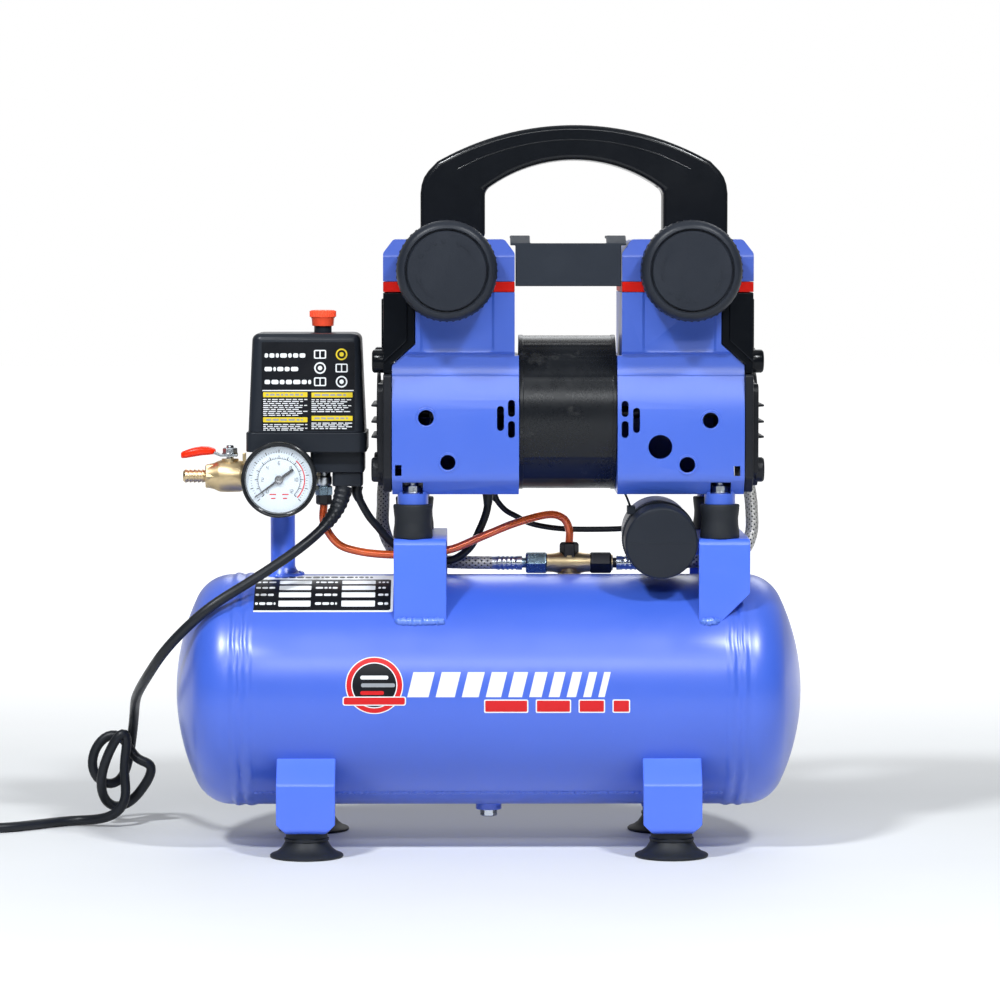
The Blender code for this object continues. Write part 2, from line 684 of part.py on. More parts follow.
def build_pipework():
    tee = rod(5.6, "X", (0, TEE_Y, TEE_Z), 24, 89, 20)
    tee = join(
        tee,
        hexagon(14, "X", (0, TEE_Y, TEE_Z), 26, 41),
        hexagon(14, "X", (0, TEE_Y, TEE_Z), 71, 86),
    )
    tee = join(tee, block((48, TEE_Y - 6.5, TEE_Z - 6), (65, TEE_Y + 6.5, TEE_Z + 6)))
    tee = join(
        tee,
        rod(6, "Z", (TEE_X, TEE_Y, 0), 176, 196, 20),
        hexagon(12, "Z", (TEE_X, TEE_Y, 0), 198, 209),
    )
    tee = cut(tee, tank_cutter())
    place("tank_tee", tee, "brass")
    copper = [
        (-114.3, -5, 237.5), (-114.3, -5, 224), (-105, -5, 210), (-91, -4, 204.5),
        (-70, -4, 202), (-45, -4, 202.5),
    ]
    copper += [
        (-25, -3, 206), (-7.4, 0, 213), (18, 6, 223), (41, 14, 228.6), (52, 19, 226),
        (56.5, 20, 218), (56.5, 20, 209.5),
    ]
    hose("unloader_tube", copper, 5.6, 8, "copper")
    left = [
        (23.5, 20, 194.5), (0, 20, 194.5), (-25, 20, 195), (-48, 21, 196.5), (-66, 26, 203),
        (-74, 40, 218),
    ]
    left += [
        (-74.5, 54, 233), (-74, 64, 247), (-70, 69, 268), (-60, 71, 300), (-44, 71, 340),
        (-31, 70, 372), (-28.5, 70, 386), (-28.5, 70, 397.5),
    ]
    hose("hose_left", left, 9, 14, "braid")
    right = [
        (89.5, 20, 194.5), (108, 20, 194.5), (140, 22, 195), (165, 25, 196.5), (179, 31, 202),
        (185.5, 40, 214),
    ]
    right += [
        (186.5, 51, 229), (185.5, 62, 244), (181, 68.5, 264), (172, 71, 300), (155, 71, 340),
        (139, 70, 372), (136.5, 70, 386), (136.5, 70, 397.5),
    ]
    hose("hose_right", right, 9, 14, "braid")


def build_capacitor():
    outline = [(0, -34), (23.4, -34), (24.9, -32.5), (24.9, 36), (0, 36)]
    can = turned(outline, "Y", (0, 0, 0), 32)
    turn = Matrix.Rotation(math.radians(4.0), 3, "X") @ Matrix.Rotation(math.radians(1.0), 3, "Z")
    bmesh.ops.rotate(can, verts=can.verts, matrix=turn)
    bmesh.ops.translate(can, verts=can.verts, vec=(116.9, -28, 216.2))
    place("capacitor", can, "black_plastic")
    motor = [
        (-91, -7, 250), (-91, -7, 244), (-84, -3, 230), (-77, 0, 221), (-66, 5, 208.5),
        (-47, 8, 199),
    ]
    motor += [(-28, 8, 196.7), (-14, 8, 205), (-6, 8, 219), (-1, 8, 233), (-0.5, 8, 245.9)]
    hose("motor_cable", motor, 5.5, 9, "rubber")
    lead = [
        (4, 25, 245.9), (4.3, 25, 240.5), (11.3, 27, 231.5), (19.7, 29, 226.5), (30.8, 31, 221),
        (51.6, 33, 217.5),
    ]
    lead += [(80, 34, 217), (100, 30, 218), (112, 22, 219), (115.5, 8.6, 219)]
    hose("capacitor_cable", lead, 4, 8, "rubber")


def build_cord():
    hose("power_cord", power_route(), CORD_D, 14, "rubber")
    ring = [(33.5, 0), (43.0, 0), (43.0, 21.5), (33.5, 21.5)]
    place("cord_coil", turned(ring, "Z", (*COIL_AT, 0), 32), "rubber")
    plug = block((-18, -13, 0.5), (18, 13, 27))
    plug = soften(plug, 4, 2)
    neck = turned([(0, -44), (4.6, -44), (6.8, -16), (0, -16)], "X", (0, 0, 11), 16)
    plug = join(plug, neck)
    for y in (-9.5, 9.5):
        plug = join(plug, rod(2.4, "X", (0, y, 13.5), 16, 37, 12))
    bmesh.ops.rotate(plug, verts=plug.verts, matrix=Matrix.Rotation(math.radians(PLUG_TURN), 3, "Z"))
    bmesh.ops.translate(plug, verts=plug.verts, vec=PLUG_AT)
    place("plug", plug, "rubber")


COIL_AT = (-408.0, 92.0)
PLUG_TURN = 90.0
PLUG_AT = (-446.5, 163.2, 0.0)


def power_route():
    """The cord from its gland, over the tank, through a loose knot, to its coil."""
    route = [
        (-100, -14, 250), (-100.3, -14, 243), (-109, -21, 227), (-130, -36, 208.5),
        (-163, -50, 187),
    ]
    route += [(-192, -59, 169), (-219, -52, 143), (-236, -22, 119), (-246, 20, 103), (-251, 56, 92)]
    knot = [
        (-254, 82, 78), (-257, 98, 62), (-260, 104, 44), (-264, 99, 30), (-273, 92, 27),
        (-282, 92, 31),
    ]
    knot += [
        (-287, 93, 42), (-283, 94, 57), (-273, 95, 67), (-264, 96, 66), (-258, 94, 55),
        (-254, 91, 44),
    ]
    knot += [
        (-247, 89, 46), (-240, 90, 47), (-241, 93, 38), (-249, 96, 26), (-257, 99, 15),
        (-267, 97, 10),
    ]
    knot += [
        (-275, 91, 14), (-279, 83, 29), (-276, 80, 44), (-269, 78, 60), (-262, 78, 72),
        (-257, 80, 69),
    ]
    knot += [
        (-260, 82, 55), (-262, 81, 40), (-259, 79, 26), (-259, 76, 17), (-266, 75, 9),
        (-280, 80, 5),
    ]
    tail = [
        (-300, 87, 3.6), (-325, 64, 3.6), (-346, 49, 3.6), (-372, 45.6, 3.6), (-392, 45.2, 3.6),
        (-408, 45.2, 3.6),
    ]
    return route + knot + tail


clear_scene()
build_tank()
build_feet()
build_pump_brackets()
build_rubber_mounts()
for pump_side, pump_name in ((-1, "left"), (1, "right")):
    build_crankcase(pump_side, pump_name)
    build_head(pump_side, pump_name)
    build_liner(pump_side, pump_name)
    build_side_cover(pump_side, pump_name)
    build_end_cover(pump_side, pump_name)
    build_air_filter(pump_side, pump_name)
    build_fan(pump_side, pump_name)
    build_crank(pump_side, pump_name)
build_motor()
build_handle()
build_cross_plate()
build_riser()
build_gauge()
build_ball_valve()
build_switch()
build_pipework()
build_capacitor()
build_cord()
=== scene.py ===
"""A twin-cylinder oil-free air compressor on a small horizontal tank, on a pale studio floor.

Lengths are in millimetres until a piece is placed; +X runs along the tank, +Y away from its front, +Z up.
"""

import math
import random

import bmesh
import bpy
from mathutils import Matrix, Vector


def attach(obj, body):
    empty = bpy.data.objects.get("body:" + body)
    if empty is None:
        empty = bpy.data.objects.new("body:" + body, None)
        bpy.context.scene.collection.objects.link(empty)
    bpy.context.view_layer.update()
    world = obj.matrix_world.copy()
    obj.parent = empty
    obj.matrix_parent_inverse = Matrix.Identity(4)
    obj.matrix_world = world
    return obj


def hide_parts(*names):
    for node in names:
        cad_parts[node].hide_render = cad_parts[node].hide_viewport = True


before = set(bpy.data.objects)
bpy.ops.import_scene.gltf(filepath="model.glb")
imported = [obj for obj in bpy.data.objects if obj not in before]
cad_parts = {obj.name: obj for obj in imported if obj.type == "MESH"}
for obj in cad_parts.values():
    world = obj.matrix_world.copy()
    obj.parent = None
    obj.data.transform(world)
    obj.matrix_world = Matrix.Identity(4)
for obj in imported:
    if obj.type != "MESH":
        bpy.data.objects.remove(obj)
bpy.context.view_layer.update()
MM = 0.001
MACHINE = "machine"

# ---------------------------------------------------------------------------------------------
# The studio: a long lens a little above the pump, a pale floor that runs out of sight,
# and soft boxes above, in front and at the sides.
# ---------------------------------------------------------------------------------------------

camera = bpy.data.objects.new("camera", bpy.data.cameras.new("camera"))
bpy.context.collection.objects.link(camera)
camera.location = Vector((-13, -2800, 410)) * MM
camera.rotation_euler = (Vector((7.9, 0, 239.7)) * MM - camera.location).to_track_quat("-Z", "Y").to_euler()
camera.data.lens = 145.3
camera.data.clip_end = 60
bpy.context.scene.camera = camera
bpy.context.scene.view_settings.view_transform = "Standard"

world = bpy.data.worlds.new("studio")
world.use_nodes = True
bpy.context.scene.world = world
sky = world.node_tree
toward = sky.nodes.new("ShaderNodeTexCoord")
split = sky.nodes.new("ShaderNodeSeparateXYZ")
fade = sky.nodes.new("ShaderNodeMapRange")
fade.inputs["From Min"].default_value, fade.inputs["From Max"].default_value = -0.1, 0.7
fade.inputs["To Min"].default_value, fade.inputs["To Max"].default_value = 0.03, 0.45
seen = sky.nodes.new("ShaderNodeLightPath")
white = sky.nodes.new("ShaderNodeMix")
white.inputs[3].default_value = 1.0
sky.links.new(toward.outputs["Generated"], split.inputs[0])
sky.links.new(split.outputs["Y"], fade.inputs["Value"])
sky.links.new(seen.outputs["Is Camera Ray"], white.inputs[0])
sky.links.new(fade.outputs["Result"], white.inputs[2])
sky.links.new(white.outputs[0], sky.nodes["Background"].inputs["Strength"])
sky.nodes["Background"].inputs["Color"].default_value = (1.0, 1.0, 1.0, 1.0)


def soft_box(name, place, aim, wide, high, watts):
    """A flat studio light that faces a point, in metres."""
    lamp = bpy.data.lights.new(name, "AREA")
    lamp.shape = "RECTANGLE"
    lamp.size, lamp.size_y, lamp.energy = wide, high, watts
    lamp.color = (0.95, 0.98, 1.0)
    made = bpy.data.objects.new(name, lamp)
    made.location = place
    made.rotation_euler = (Vector(aim) - Vector(place)).to_track_quat("-Z", "Y").to_euler()
    bpy.context.collection.objects.link(made)


soft_box("key_left", (-1.05, -1.65, 2.25), (0, 0, 0.25), 0.30, 0.26, 54)
soft_box("key_right", (1.05, -1.65, 2.25), (0, 0, 0.25), 0.30, 0.26, 48)
soft_box("front_light", (0.0, -2.1, 1.32), (0, 0, 0.2), 1.5, 0.22, 15)
soft_box("top_light", (0.0, 0.1, 2.2), (0, 0, 0.2), 1.6, 1.0, 3)
soft_box("back_light", (0.3, 1.9, 1.3), (0, 0, 0.25), 1.6, 0.7, 8)

# The wrapper that shader sums are written with.


class Wire:
    """One socket of a material's node tree. Operators on it add Math nodes."""

    def __init__(self, tree, socket):
        self.tree, self.socket = tree, socket

    def node(self, kind, settings=None, inputs=None, output=0):
        """A node of any type: its settings first, then the values or wires of its inputs."""
        made = self.tree.nodes.new(kind)
        for name, value in (settings or {}).items():
            if name == "stops":
                while len(made.color_ramp.elements) < len(value):
                    made.color_ramp.elements.new(0.5)
                for stop, (position, colour) in zip(made.color_ramp.elements, value):
                    stop.position = position
                    stop.color = (*colour, 1.0) if len(colour) == 3 else colour
            else:
                setattr(made, name, value)
        for name, value in (inputs or {}).items():
            if isinstance(value, Wire):
                self.tree.links.new(value.socket, made.inputs[name])
            else:
                made.inputs[name].default_value = value
        return Wire(self.tree, made.outputs[output])

    def sum(self, operation, *values):
        return self.node("ShaderNodeMath", {"operation": operation}, dict(enumerate(values)))

    def __add__(self, other):
        return self.sum("ADD", self, other)

    __radd__ = __add__

    def __sub__(self, other):
        return self.sum("SUBTRACT", self, other)

    def __rsub__(self, other):
        return self.sum("SUBTRACT", other, self)

    def __mul__(self, other):
        return self.sum("MULTIPLY", self, other)

    __rmul__ = __mul__

    def tint(self, low, high):
        """A colour between two others, by this value."""
        inputs = {0: self}
        for index, colour in ((6, low), (7, high)):
            inputs[index] = colour if isinstance(colour, Wire) else (*colour, 1.0)
        return self.node("ShaderNodeMix", {"data_type": "RGBA"}, inputs, 2)


def new_look(name, colour, **constants):
    """A Principled material with its constants set, the wire of its coordinates and its shader."""
    look = bpy.data.materials.new(name)
    look.use_nodes = True
    tree = look.node_tree
    shader = tree.nodes["Principled BSDF"]
    shader.inputs["Base Color"].default_value = (*colour, 1.0)
    for socket, value in constants.items():
        shader.inputs[socket.replace("_", " ").title().replace("Ior", "IOR")].default_value = value
    coordinates = tree.nodes.new("ShaderNodeTexCoord")
    return look, Wire(tree, coordinates.outputs["Object"]), shader


def feed(shader, **wires):
    for socket, wire in wires.items():
        wire.tree.links.new(wire.socket, shader.inputs[socket.replace("_", " ").title()])


def relief(wire, depth, strength=1.0, under=None):
    """The bump that a height from 0 to 1 gives at a depth in millimetres."""
    inputs = {"Height": wire, "Distance": depth * MM, "Strength": strength}
    if under:
        inputs["Normal"] = under
    return wire.node("ShaderNodeBump", None, inputs)


def noise(place, scale, detail=2.0, roughness=0.5):
    """Noise whose features are about 1 / scale metres across."""
    return place.node(
        "ShaderNodeTexNoise", None,
        {"Vector": place, "Scale": scale, "Detail": detail, "Roughness": roughness},
    )


def steps(wire, *stops):
    """A value read through a ramp of (position, value) stops."""
    greys = [(position, (value, value, value)) for position, value in stops]
    return wire.node("ShaderNodeValToRGB", {"stops": greys}, {"Fac": wire})


floor_look, place, shader = new_look("studio_floor", (0.74, 0.75, 0.76), roughness=0.7)
behind = place.node("ShaderNodeSeparateXYZ", None, {0: place}, 1)
feed(shader, base_color=noise(place, 6, 3).tint((0.72, 0.73, 0.74), (0.76, 0.77, 0.78)))
feed(shader, emission_color=steps(behind * 0.4, (0.1, 0.0), (0.8, 0.92)))
shader.inputs["Emission Strength"].default_value = 1.0
shape = bmesh.new()
bmesh.ops.create_grid(shape, x_segments=8, y_segments=8, size=12)
floor_mesh = bpy.data.meshes.new("studio_floor")
shape.to_mesh(floor_mesh)
shape.free()
floor_mesh.materials.append(floor_look)
floor = bpy.data.objects.new("studio_floor", floor_mesh)
bpy.context.collection.objects.link(floor)

# ---------------------------------------------------------------------------------------------
# The mains lead: a round rubber-sheathed cable of 7 mm. It leaves a tapered bush under the switch,
# falls over the tank's shoulder, is bunched in a loose knot, and ends in a coil with its plug.
# ---------------------------------------------------------------------------------------------

CORD = 7.0
COIL_MIDDLE = Vector((-408.0, 92.0, 0.0))


def turned(outline, axis, centre=(0, 0, 0), segments=48):
    """A solid of revolution from (radius, along) points; a radius of 0 is on the axis."""
    made = bmesh.new()
    rings = []
    for radius, along in outline:
        ring = []
        for k in range(segments if radius > 0 else 1):
            angle = 2 * math.pi * k / segments
            a, b = radius * math.cos(angle), radius * math.sin(angle)
            local = {"X": (along, a, b), "Y": (b, along, a), "Z": (a, b, along)}[axis]
            ring.append(made.verts.new([c + d for c, d in zip(centre, local)]))
        rings.append(ring)
    for k, ring in enumerate(rings):
        after = rings[(k + 1) % len(rings)]
        if len(ring) == 1 and len(after) == 1:
            continue
        for j in range(segments):
            i = (j + 1) % segments
            if len(ring) == 1:
                made.faces.new((ring[0], after[j], after[i]))
            elif len(after) == 1:
                made.faces.new((ring[j], ring[i], after[0]))
            else:
                made.faces.new((ring[j], ring[i], after[i], after[j]))
    bmesh.ops.recalc_face_normals(made, faces=made.faces)
    return made


def prism(outline, axis, low, high):
    """An outline pushed along an axis: (y, z) points for X, (x, z) for Y and (x, y) for Z."""
    made = bmesh.new()
    ends = []
    for along in (low, high):
        spots = [{"X": (along, a, b), "Y": (a, along, b), "Z": (a, b, along)}[axis] for a, b in outline]
        ends.append([made.verts.new(spot) for spot in spots])
    made.faces.new(ends[0])
    made.faces.new(ends[1])
    for k in range(len(outline)):
        j = (k + 1) % len(outline)
        made.faces.new((ends[0][k], ends[0][j], ends[1][j], ends[1][k]))
    bmesh.ops.recalc_face_normals(made, faces=made.faces)
    return made


def block(low, high):
    outline = [(low[0], low[1]), (high[0], low[1]), (high[0], high[1]), (low[0], high[1])]
    return prism(outline, "Z", low[2], high[2])


def gather(*shapes):
    """Several shapes in one mesh, with each one's material index kept."""
    base = shapes[0]
    for other in shapes[1:]:
        spare = bpy.data.meshes.new("spare")
        other.to_mesh(spare)
        other.free()
        base.from_mesh(spare)
        bpy.data.meshes.remove(spare)
    return base


def finish_piece(
    name, shape, looks, body=MACHINE, bevel=0.0, smooth=35.0, rounds=2, over=30.0, stands_for=()
):
    """Places a shape given in millimetres, rounds its edges, and fixes it to a body."""
    bmesh.ops.remove_doubles(shape, verts=shape.verts, dist=0.0005)
    bmesh.ops.scale(shape, verts=shape.verts, vec=(MM, MM, MM))
    mesh = bpy.data.meshes.new(name)
    shape.to_mesh(mesh)
    shape.free()
    made = bpy.data.objects.new(name, mesh)
    bpy.context.collection.objects.link(made)
    for look in looks if isinstance(looks, (list, tuple)) else [looks]:
        mesh.materials.append(look)
    mesh.shade_smooth()
    mesh.set_sharp_from_angle(angle=math.radians(smooth))
    if bevel:
        modifier = made.modifiers.new("rounded edges", "BEVEL")
        modifier.width = bevel * MM
        modifier.segments = rounds
        modifier.limit_method = "ANGLE"
        modifier.angle_limit = math.radians(over)
        modifier.harden_normals = True
    if stands_for:
        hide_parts(*stands_for)
    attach(made, body)
    return made


def tube_between(points, diameters, sides=12):
    """A closed round tube along given points, and how far along it each ring is, in a UV map."""
    diameters = diameters if isinstance(diameters, list) else [diameters] * len(points)
    made = bmesh.new()
    uv = made.loops.layers.uv.new("along")
    spots = [Vector(p) for p in points]
    ahead = (spots[1] - spots[0]).normalized()
    side = ahead.orthogonal().normalized()
    rings, far = [], [0.0]
    for k, spot in enumerate(spots):
        way = (spots[min(k + 1, len(spots) - 1)] - spots[max(k - 1, 0)]).normalized()
        side = (side - way * side.dot(way)).normalized()
        other = way.cross(side)
        ring = []
        for j in range(sides):
            angle = 2 * math.pi * j / sides
            ring.append(
                made.verts.new(spot + (side * math.cos(angle) + other * math.sin(angle)) * diameters[k] / 2)
            )
        rings.append(ring)
        if k:
            far.append(far[-1] + (spot - spots[k - 1]).length)
    for k in range(len(rings) - 1):
        for j in range(sides):
            i = (j + 1) % sides
            face = made.faces.new((rings[k][j], rings[k][i], rings[k + 1][i], rings[k + 1][j]))
            corners = ((j, k), (j + 1, k), (j + 1, k + 1), (j, k + 1))
            for loop, (across, along) in zip(face.loops, corners):
                loop[uv].uv = (across / sides, far[along] / (math.pi * diameters[0]))
    made.faces.new(list(reversed(rings[0])))
    made.faces.new(rings[-1])
    bmesh.ops.recalc_face_normals(made, faces=made.faces)
    return made


def smooth_line(points, step):
    """Points a step apart on a smooth curve through a route's own points."""
    route = [Vector(p) for p in points]
    padded = [route[0] * 2 - route[1], *route, route[-1] * 2 - route[-2]]
    dense = []
    for k in range(1, len(padded) - 2):
        a, b, c, d = padded[k - 1 : k + 3]
        for j in range(24):
            t = j / 24
            bend = (2 * a - 5 * b + 4 * c - d) * t**2 + (3 * b - a - 3 * c + d) * t**3
            dense.append(0.5 * (2 * b + (c - a) * t + bend))
    dense.append(route[-1])
    lengths = [0.0]
    for a, b in zip(dense, dense[1:]):
        lengths.append(lengths[-1] + (b - a).length)
    count = max(2, round(lengths[-1] / step))
    spaced, j = [], 0
    for k in range(count + 1):
        want = lengths[-1] * k / count
        while j < len(dense) - 2 and lengths[j + 1] < want:
            j += 1
        share = (want - lengths[j]) / max(lengths[j + 1] - lengths[j], 1e-9)
        spaced.append(dense[j].lerp(dense[j + 1], share))
    return spaced


def sheath(name, colour, roughness, wear=0.25):
    """Extruded soft plastic: a fine drawn grain along it, and a few duller, dusty patches."""
    look, place, shader = new_look(name, colour, roughness=roughness, specular_ior_level=0.3)
    patches = noise(place, 60, 4)
    fine = noise(place, 2200, 2)
    lighter = [min(1.0, c * (1 + wear) + 0.002) for c in colour]
    feed(shader, base_color=patches.tint(colour, lighter), roughness=patches * 0.2 + (roughness - 0.1))
    feed(shader, normal=relief(fine, 0.05, 0.5))
    return look


cord_black = sheath("cord_sheath", (0.010, 0.012, 0.016), 0.38)
EXIT = (-100, -14, 250)
route = [EXIT, (-100.3, -14, 243), (-109, -21, 227), (-130, -36, 208.5), (-163, -50, 187), (-192, -59, 169)]
route += [
    (-219, -52, 143), (-236, -22, 119), (-246, 20, 103), (-251, 56, 92), (-254, 82, 78), (-257, 98, 62)
]
route += [(-260, 104, 44), (-264, 99, 30), (-273, 92, 27), (-282, 92, 31), (-287, 93, 42), (-283, 94, 57)]
route += [(-273, 95, 67), (-264, 96, 66), (-258, 94, 55), (-254, 91, 44), (-247, 89, 46), (-240, 90, 47)]
route += [(-241, 93, 38), (-249, 96, 26), (-257, 99, 15), (-267, 97, 10), (-275, 91, 14), (-279, 83, 29)]
route += [(-276, 80, 44), (-269, 78, 60), (-262, 78, 72), (-257, 80, 69), (-260, 82, 55), (-262, 81, 40)]
route += [(-259, 79, 26), (-259, 76, 17), (-266, 75, 9), (-280, 80, 5), (-300, 87, 3.6), (-325, 64, 3.6)]
route += [(-346, 49, 3.6), (-372, 45.6, 3.6), (-392, 45.2, 3.6), (-398, 46.2, 3.6)]


def ease(t):
    t = min(1.0, max(0.0, t))
    return t * t * (3 - 2 * t)


turns = []
for k in range(1, 60):
    turn = 3.25 * k / 59
    leave = ease((turn - 2.80) / 0.15)
    radius = 39.2 + 7.6 * (1 - ease(turn / 0.2)) + 7.2 * leave
    lift = 3.6 + 7.15 * (
        ease((turn - 0.93) / 0.16) + ease((turn - 1.93) / 0.16)
    ) - 6.9 * ease((turn - 2.92) / 0.25)
    angle = -math.pi / 2 - 2 * math.pi * turn
    turns.append(COIL_MIDDLE + Vector((radius * math.cos(angle), radius * math.sin(angle), lift)))
route = [*route[:-1], (-408, 45.2, 3.6), *turns, (-452.5, 106, 11.1), (-446.6, 119.6, 11.2)]
cord_line = smooth_line(route, 3.5)
for _ in range(14):
    inner = [b.lerp((a + c) / 2, 0.5) for a, b, c in zip(cord_line, cord_line[1:], cord_line[2:])]
    cord_line = [cord_line[0], *inner, cord_line[-1]]
power_cord = finish_piece(
    "mains_lead", tube_between(cord_line, CORD, 14), cord_black, stands_for=["power_cord", "cord_coil"]
)

relief_line = smooth_line(cord_line[:11], 1.0)
relief_widths = []
for k in range(len(relief_line)):
    share = k / (len(relief_line) - 1)
    rib = 0.9 if (k % 4) < 2 and 0.1 < share < 0.9 else 0.0
    relief_widths.append(12.5 - 4.6 * share + rib - 0.3)
bush = finish_piece("cord_bush", tube_between(relief_line, relief_widths, 20), cord_black, smooth=50)

moulded_plug = sheath("plug_moulding", (0.020, 0.022, 0.026), 0.36)


def ring_stack(rings):
    """A closed skin through rings of points."""
    made = bmesh.new()
    rows = [[made.verts.new(spot) for spot in ring] for ring in rings]
    for low, high in zip(rows, rows[1:]):
        for j in range(len(low)):
            i = (j + 1) % len(low)
            made.faces.new((low[j], low[i], high[i], high[j]))
    made.faces.new(list(reversed(rows[0])))
    made.faces.new(rows[-1])
    bmesh.ops.recalc_face_normals(made, faces=made.faces)
    return made


def rounded_ring(half_a, half_b, power, count):
    """Points round a shape between an ellipse, at power 2, and a rectangle."""
    spots = []
    for k in range(count):
        angle = 2 * math.pi * (k + 0.5) / count
        c, s = math.cos(angle), math.sin(angle)
        a = half_a * math.copysign(abs(c) ** (2 / power), c)
        b = half_b * math.copysign(abs(s) ** (2 / power), s)
        spots.append((a, b))
    return spots


PLUG_X, PLUG_Y = -446.5, 163.2
GRIP_RIB = (0.9, 0.7, 2.6)
sections = [(-44, 4.4, 4.4, 2), (-43.4, 4.9, 4.9, 2)]
for k in range(6):
    along = -41.5 + 4 * k
    thick = 4.7 + 0.35 * k
    sections += [(along, thick, thick, 2), (along + 0.5, thick + 0.8, thick + 0.8, 2)]
    sections += [(along + 2.2, thick + 0.9, thick + 0.9, 2), (along + 2.7, thick + 0.1, thick + 0.1, 2)]
sections += [
    (-17.6, 7.5, 6.8, 2.2), (-16, 11, 9, 2.8), (-13, 12.4, 11.6, 3.4), (-6, 11.7, 12.6, 3.8),
    (2, 11.5, 12.8, 4),
]
sections += [(10, 12.4, 13.1, 4), (15, 13, 13.2, 4), (17.2, 12.7, 12.9, 4), (18, 12, 12.2, 4)]
rings = []
for along, half_x, half_z, power in sections:
    middle = 11 + 2.7 * ease((along + 20) / 12)
    rings.append(
        [(PLUG_X + a, PLUG_Y + along, middle + b) for a, b in rounded_ring(half_x, half_z, power, 36)]
    )
body = ring_stack(rings)
for z in (9.5, 17.5):
    for side in (-1, 1):
        for k in range(4):
            middle = (PLUG_X + side * 11.3, PLUG_Y - 8 + 4 * k, z)
            low = [c - d for c, d in zip(middle, GRIP_RIB)]
            high = [c + d for c, d in zip(middle, GRIP_RIB)]
            body = gather(body, block(low, high))
plug = finish_piece("mains_plug", body, moulded_plug, smooth=40, stands_for=["plug"])

pin_metal, place, shader = new_look("plug_pin", (0.62, 0.58, 0.50), metallic=1.0, roughness=0.25)
feed(shader, roughness=noise(place, 900, 3) * 0.25 + 0.15)
pins = []
for x in (-9.5, 9.5):
    tip = [(0, 15.5), (2.4, 15.5), (2.4, 34.6), (1.9, 36.2), (0.9, 37), (0, 37)]
    pins.append(turned(tip, "Y", (PLUG_X + x, PLUG_Y, 13.7), 24))
plug_pins = finish_piece("plug_pins", gather(*pins), pin_metal)
plug_pins.parent = None
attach(plug_pins, MACHINE)
[list(p * MM) for p in cord_line]

# ---------------------------------------------------------------------------------------------
# The air tank: rolled steel sheet with two dished ends, butt-welded round both ends and along
# the low front, sprayed in one coat of gloss blue. Printed film is stuck to its front.
# ---------------------------------------------------------------------------------------------

TANK_Z, TANK_R, TANK_END = 108.0, 80.0, 217.0


def painted(name, colour, roughness, peel=0.03):
    """Sprayed enamel: faint orange peel, slow changes of depth, a few dust nibs and duller patches."""
    look, place, shader = new_look(name, colour, roughness=roughness, coat_weight=0.7, coat_roughness=0.30)
    slow = noise(place, 8, 3)
    dust = steps(noise(place, 330, 2, 0.6), (0.70, 0.0), (0.76, 1.0))
    deep = [c * 0.90 for c in colour]
    pale = [min(1.0, c * 1.08 + 0.004) for c in colour]
    coat = slow.tint(deep, pale)
    feed(shader, base_color=(dust * 0.10).tint(coat, [min(1.0, c * 1.3 + 0.05) for c in colour]))
    feed(shader, roughness=noise(place, 45, 3) * 0.16 + dust * 0.1 + (roughness - 0.08))
    feed(shader, normal=relief(noise(place, 380, 3), peel, 0.45, relief(dust, 0.02, 0.4)))
    return look


tank_blue = painted("tank_blue", (0.046, 0.120, 0.62), 0.36)
profile = [(TANK_R, 0.5), (TANK_R, 60), (TANK_R, 120), (TANK_R, 160.5)]
for along, height in (
    (162, 0.5), (163.6, 0.95), (165.4, 1.0), (167, 0.55), (168.2, 0.15), (170, 0.15), (171.2, 0.7)
):
    profile.append((TANK_R + height, along))
profile += [(TANK_R + 1.05, 172.8), (TANK_R + 0.9, 174.6), (TANK_R + 0.1, 176.2)]
knuckle, crown = 27.0, 150.0
crown_x = TANK_END - crown
knuckle_x = crown_x + math.sqrt((crown - knuckle) ** 2 - (TANK_R - knuckle) ** 2)
last = math.atan2(TANK_R - knuckle, knuckle_x - crown_x)
for k in range(13):
    angle = math.pi / 2 - (math.pi / 2 - last) * k / 12
    if knuckle_x + knuckle * math.cos(angle) > 177:
        spot = (TANK_R - knuckle + knuckle * math.sin(angle), knuckle_x + knuckle * math.cos(angle))
        profile.append(spot)
profile += [
    (crown * math.sin(last * (1 - k / 10)), crown_x + crown * math.cos(last * (1 - k / 10)))
    for k in range(1, 10)
]
half = [*profile, (0, TANK_END)]
shell = turned([(r, -x) for r, x in reversed(half)] + half, "X", (0, 0, TANK_Z), 160)
for vert in shell.verts:
    around = math.hypot(vert.co.y, vert.co.z - TANK_Z)
    if around > TANK_R + 0.3:
        angle = math.atan2(vert.co.z - TANK_Z, vert.co.y)
        vert.co.x += 0.5 * math.sin(7 * angle) + 0.35 * math.sin(23 * angle + 1)
        swell = 1 + (0.0022 * math.sin(80 * angle) + 0.0012 * math.sin(31 * angle)) * (around - TANK_R)
        vert.co.y *= swell
        vert.co.z = TANK_Z + (vert.co.z - TANK_Z) * swell
finish_piece("tank_shell", shell, tank_blue, smooth=40, stands_for=["tank"])


def weld_bead(points, width, seed=1):
    """A run of overlapping weld ripples along a line, half sunk in the steel."""
    line = smooth_line(points, 1.25)
    rng = random.Random(seed)
    widths = []
    for k in range(len(line)):
        fade = min(1.0, 0.45 + 0.4 * k, 0.45 + 0.4 * (len(line) - 1 - k))
        widths.append(width * fade * (1.0 + 0.15 * (k % 3 - 1) + rng.uniform(-0.14, 0.14)))
    shifted = [p + Vector((rng.uniform(-0.2, 0.2), 0, rng.uniform(-0.4, 0.4))) for p in line]
    return tube_between(shifted, widths, 10)


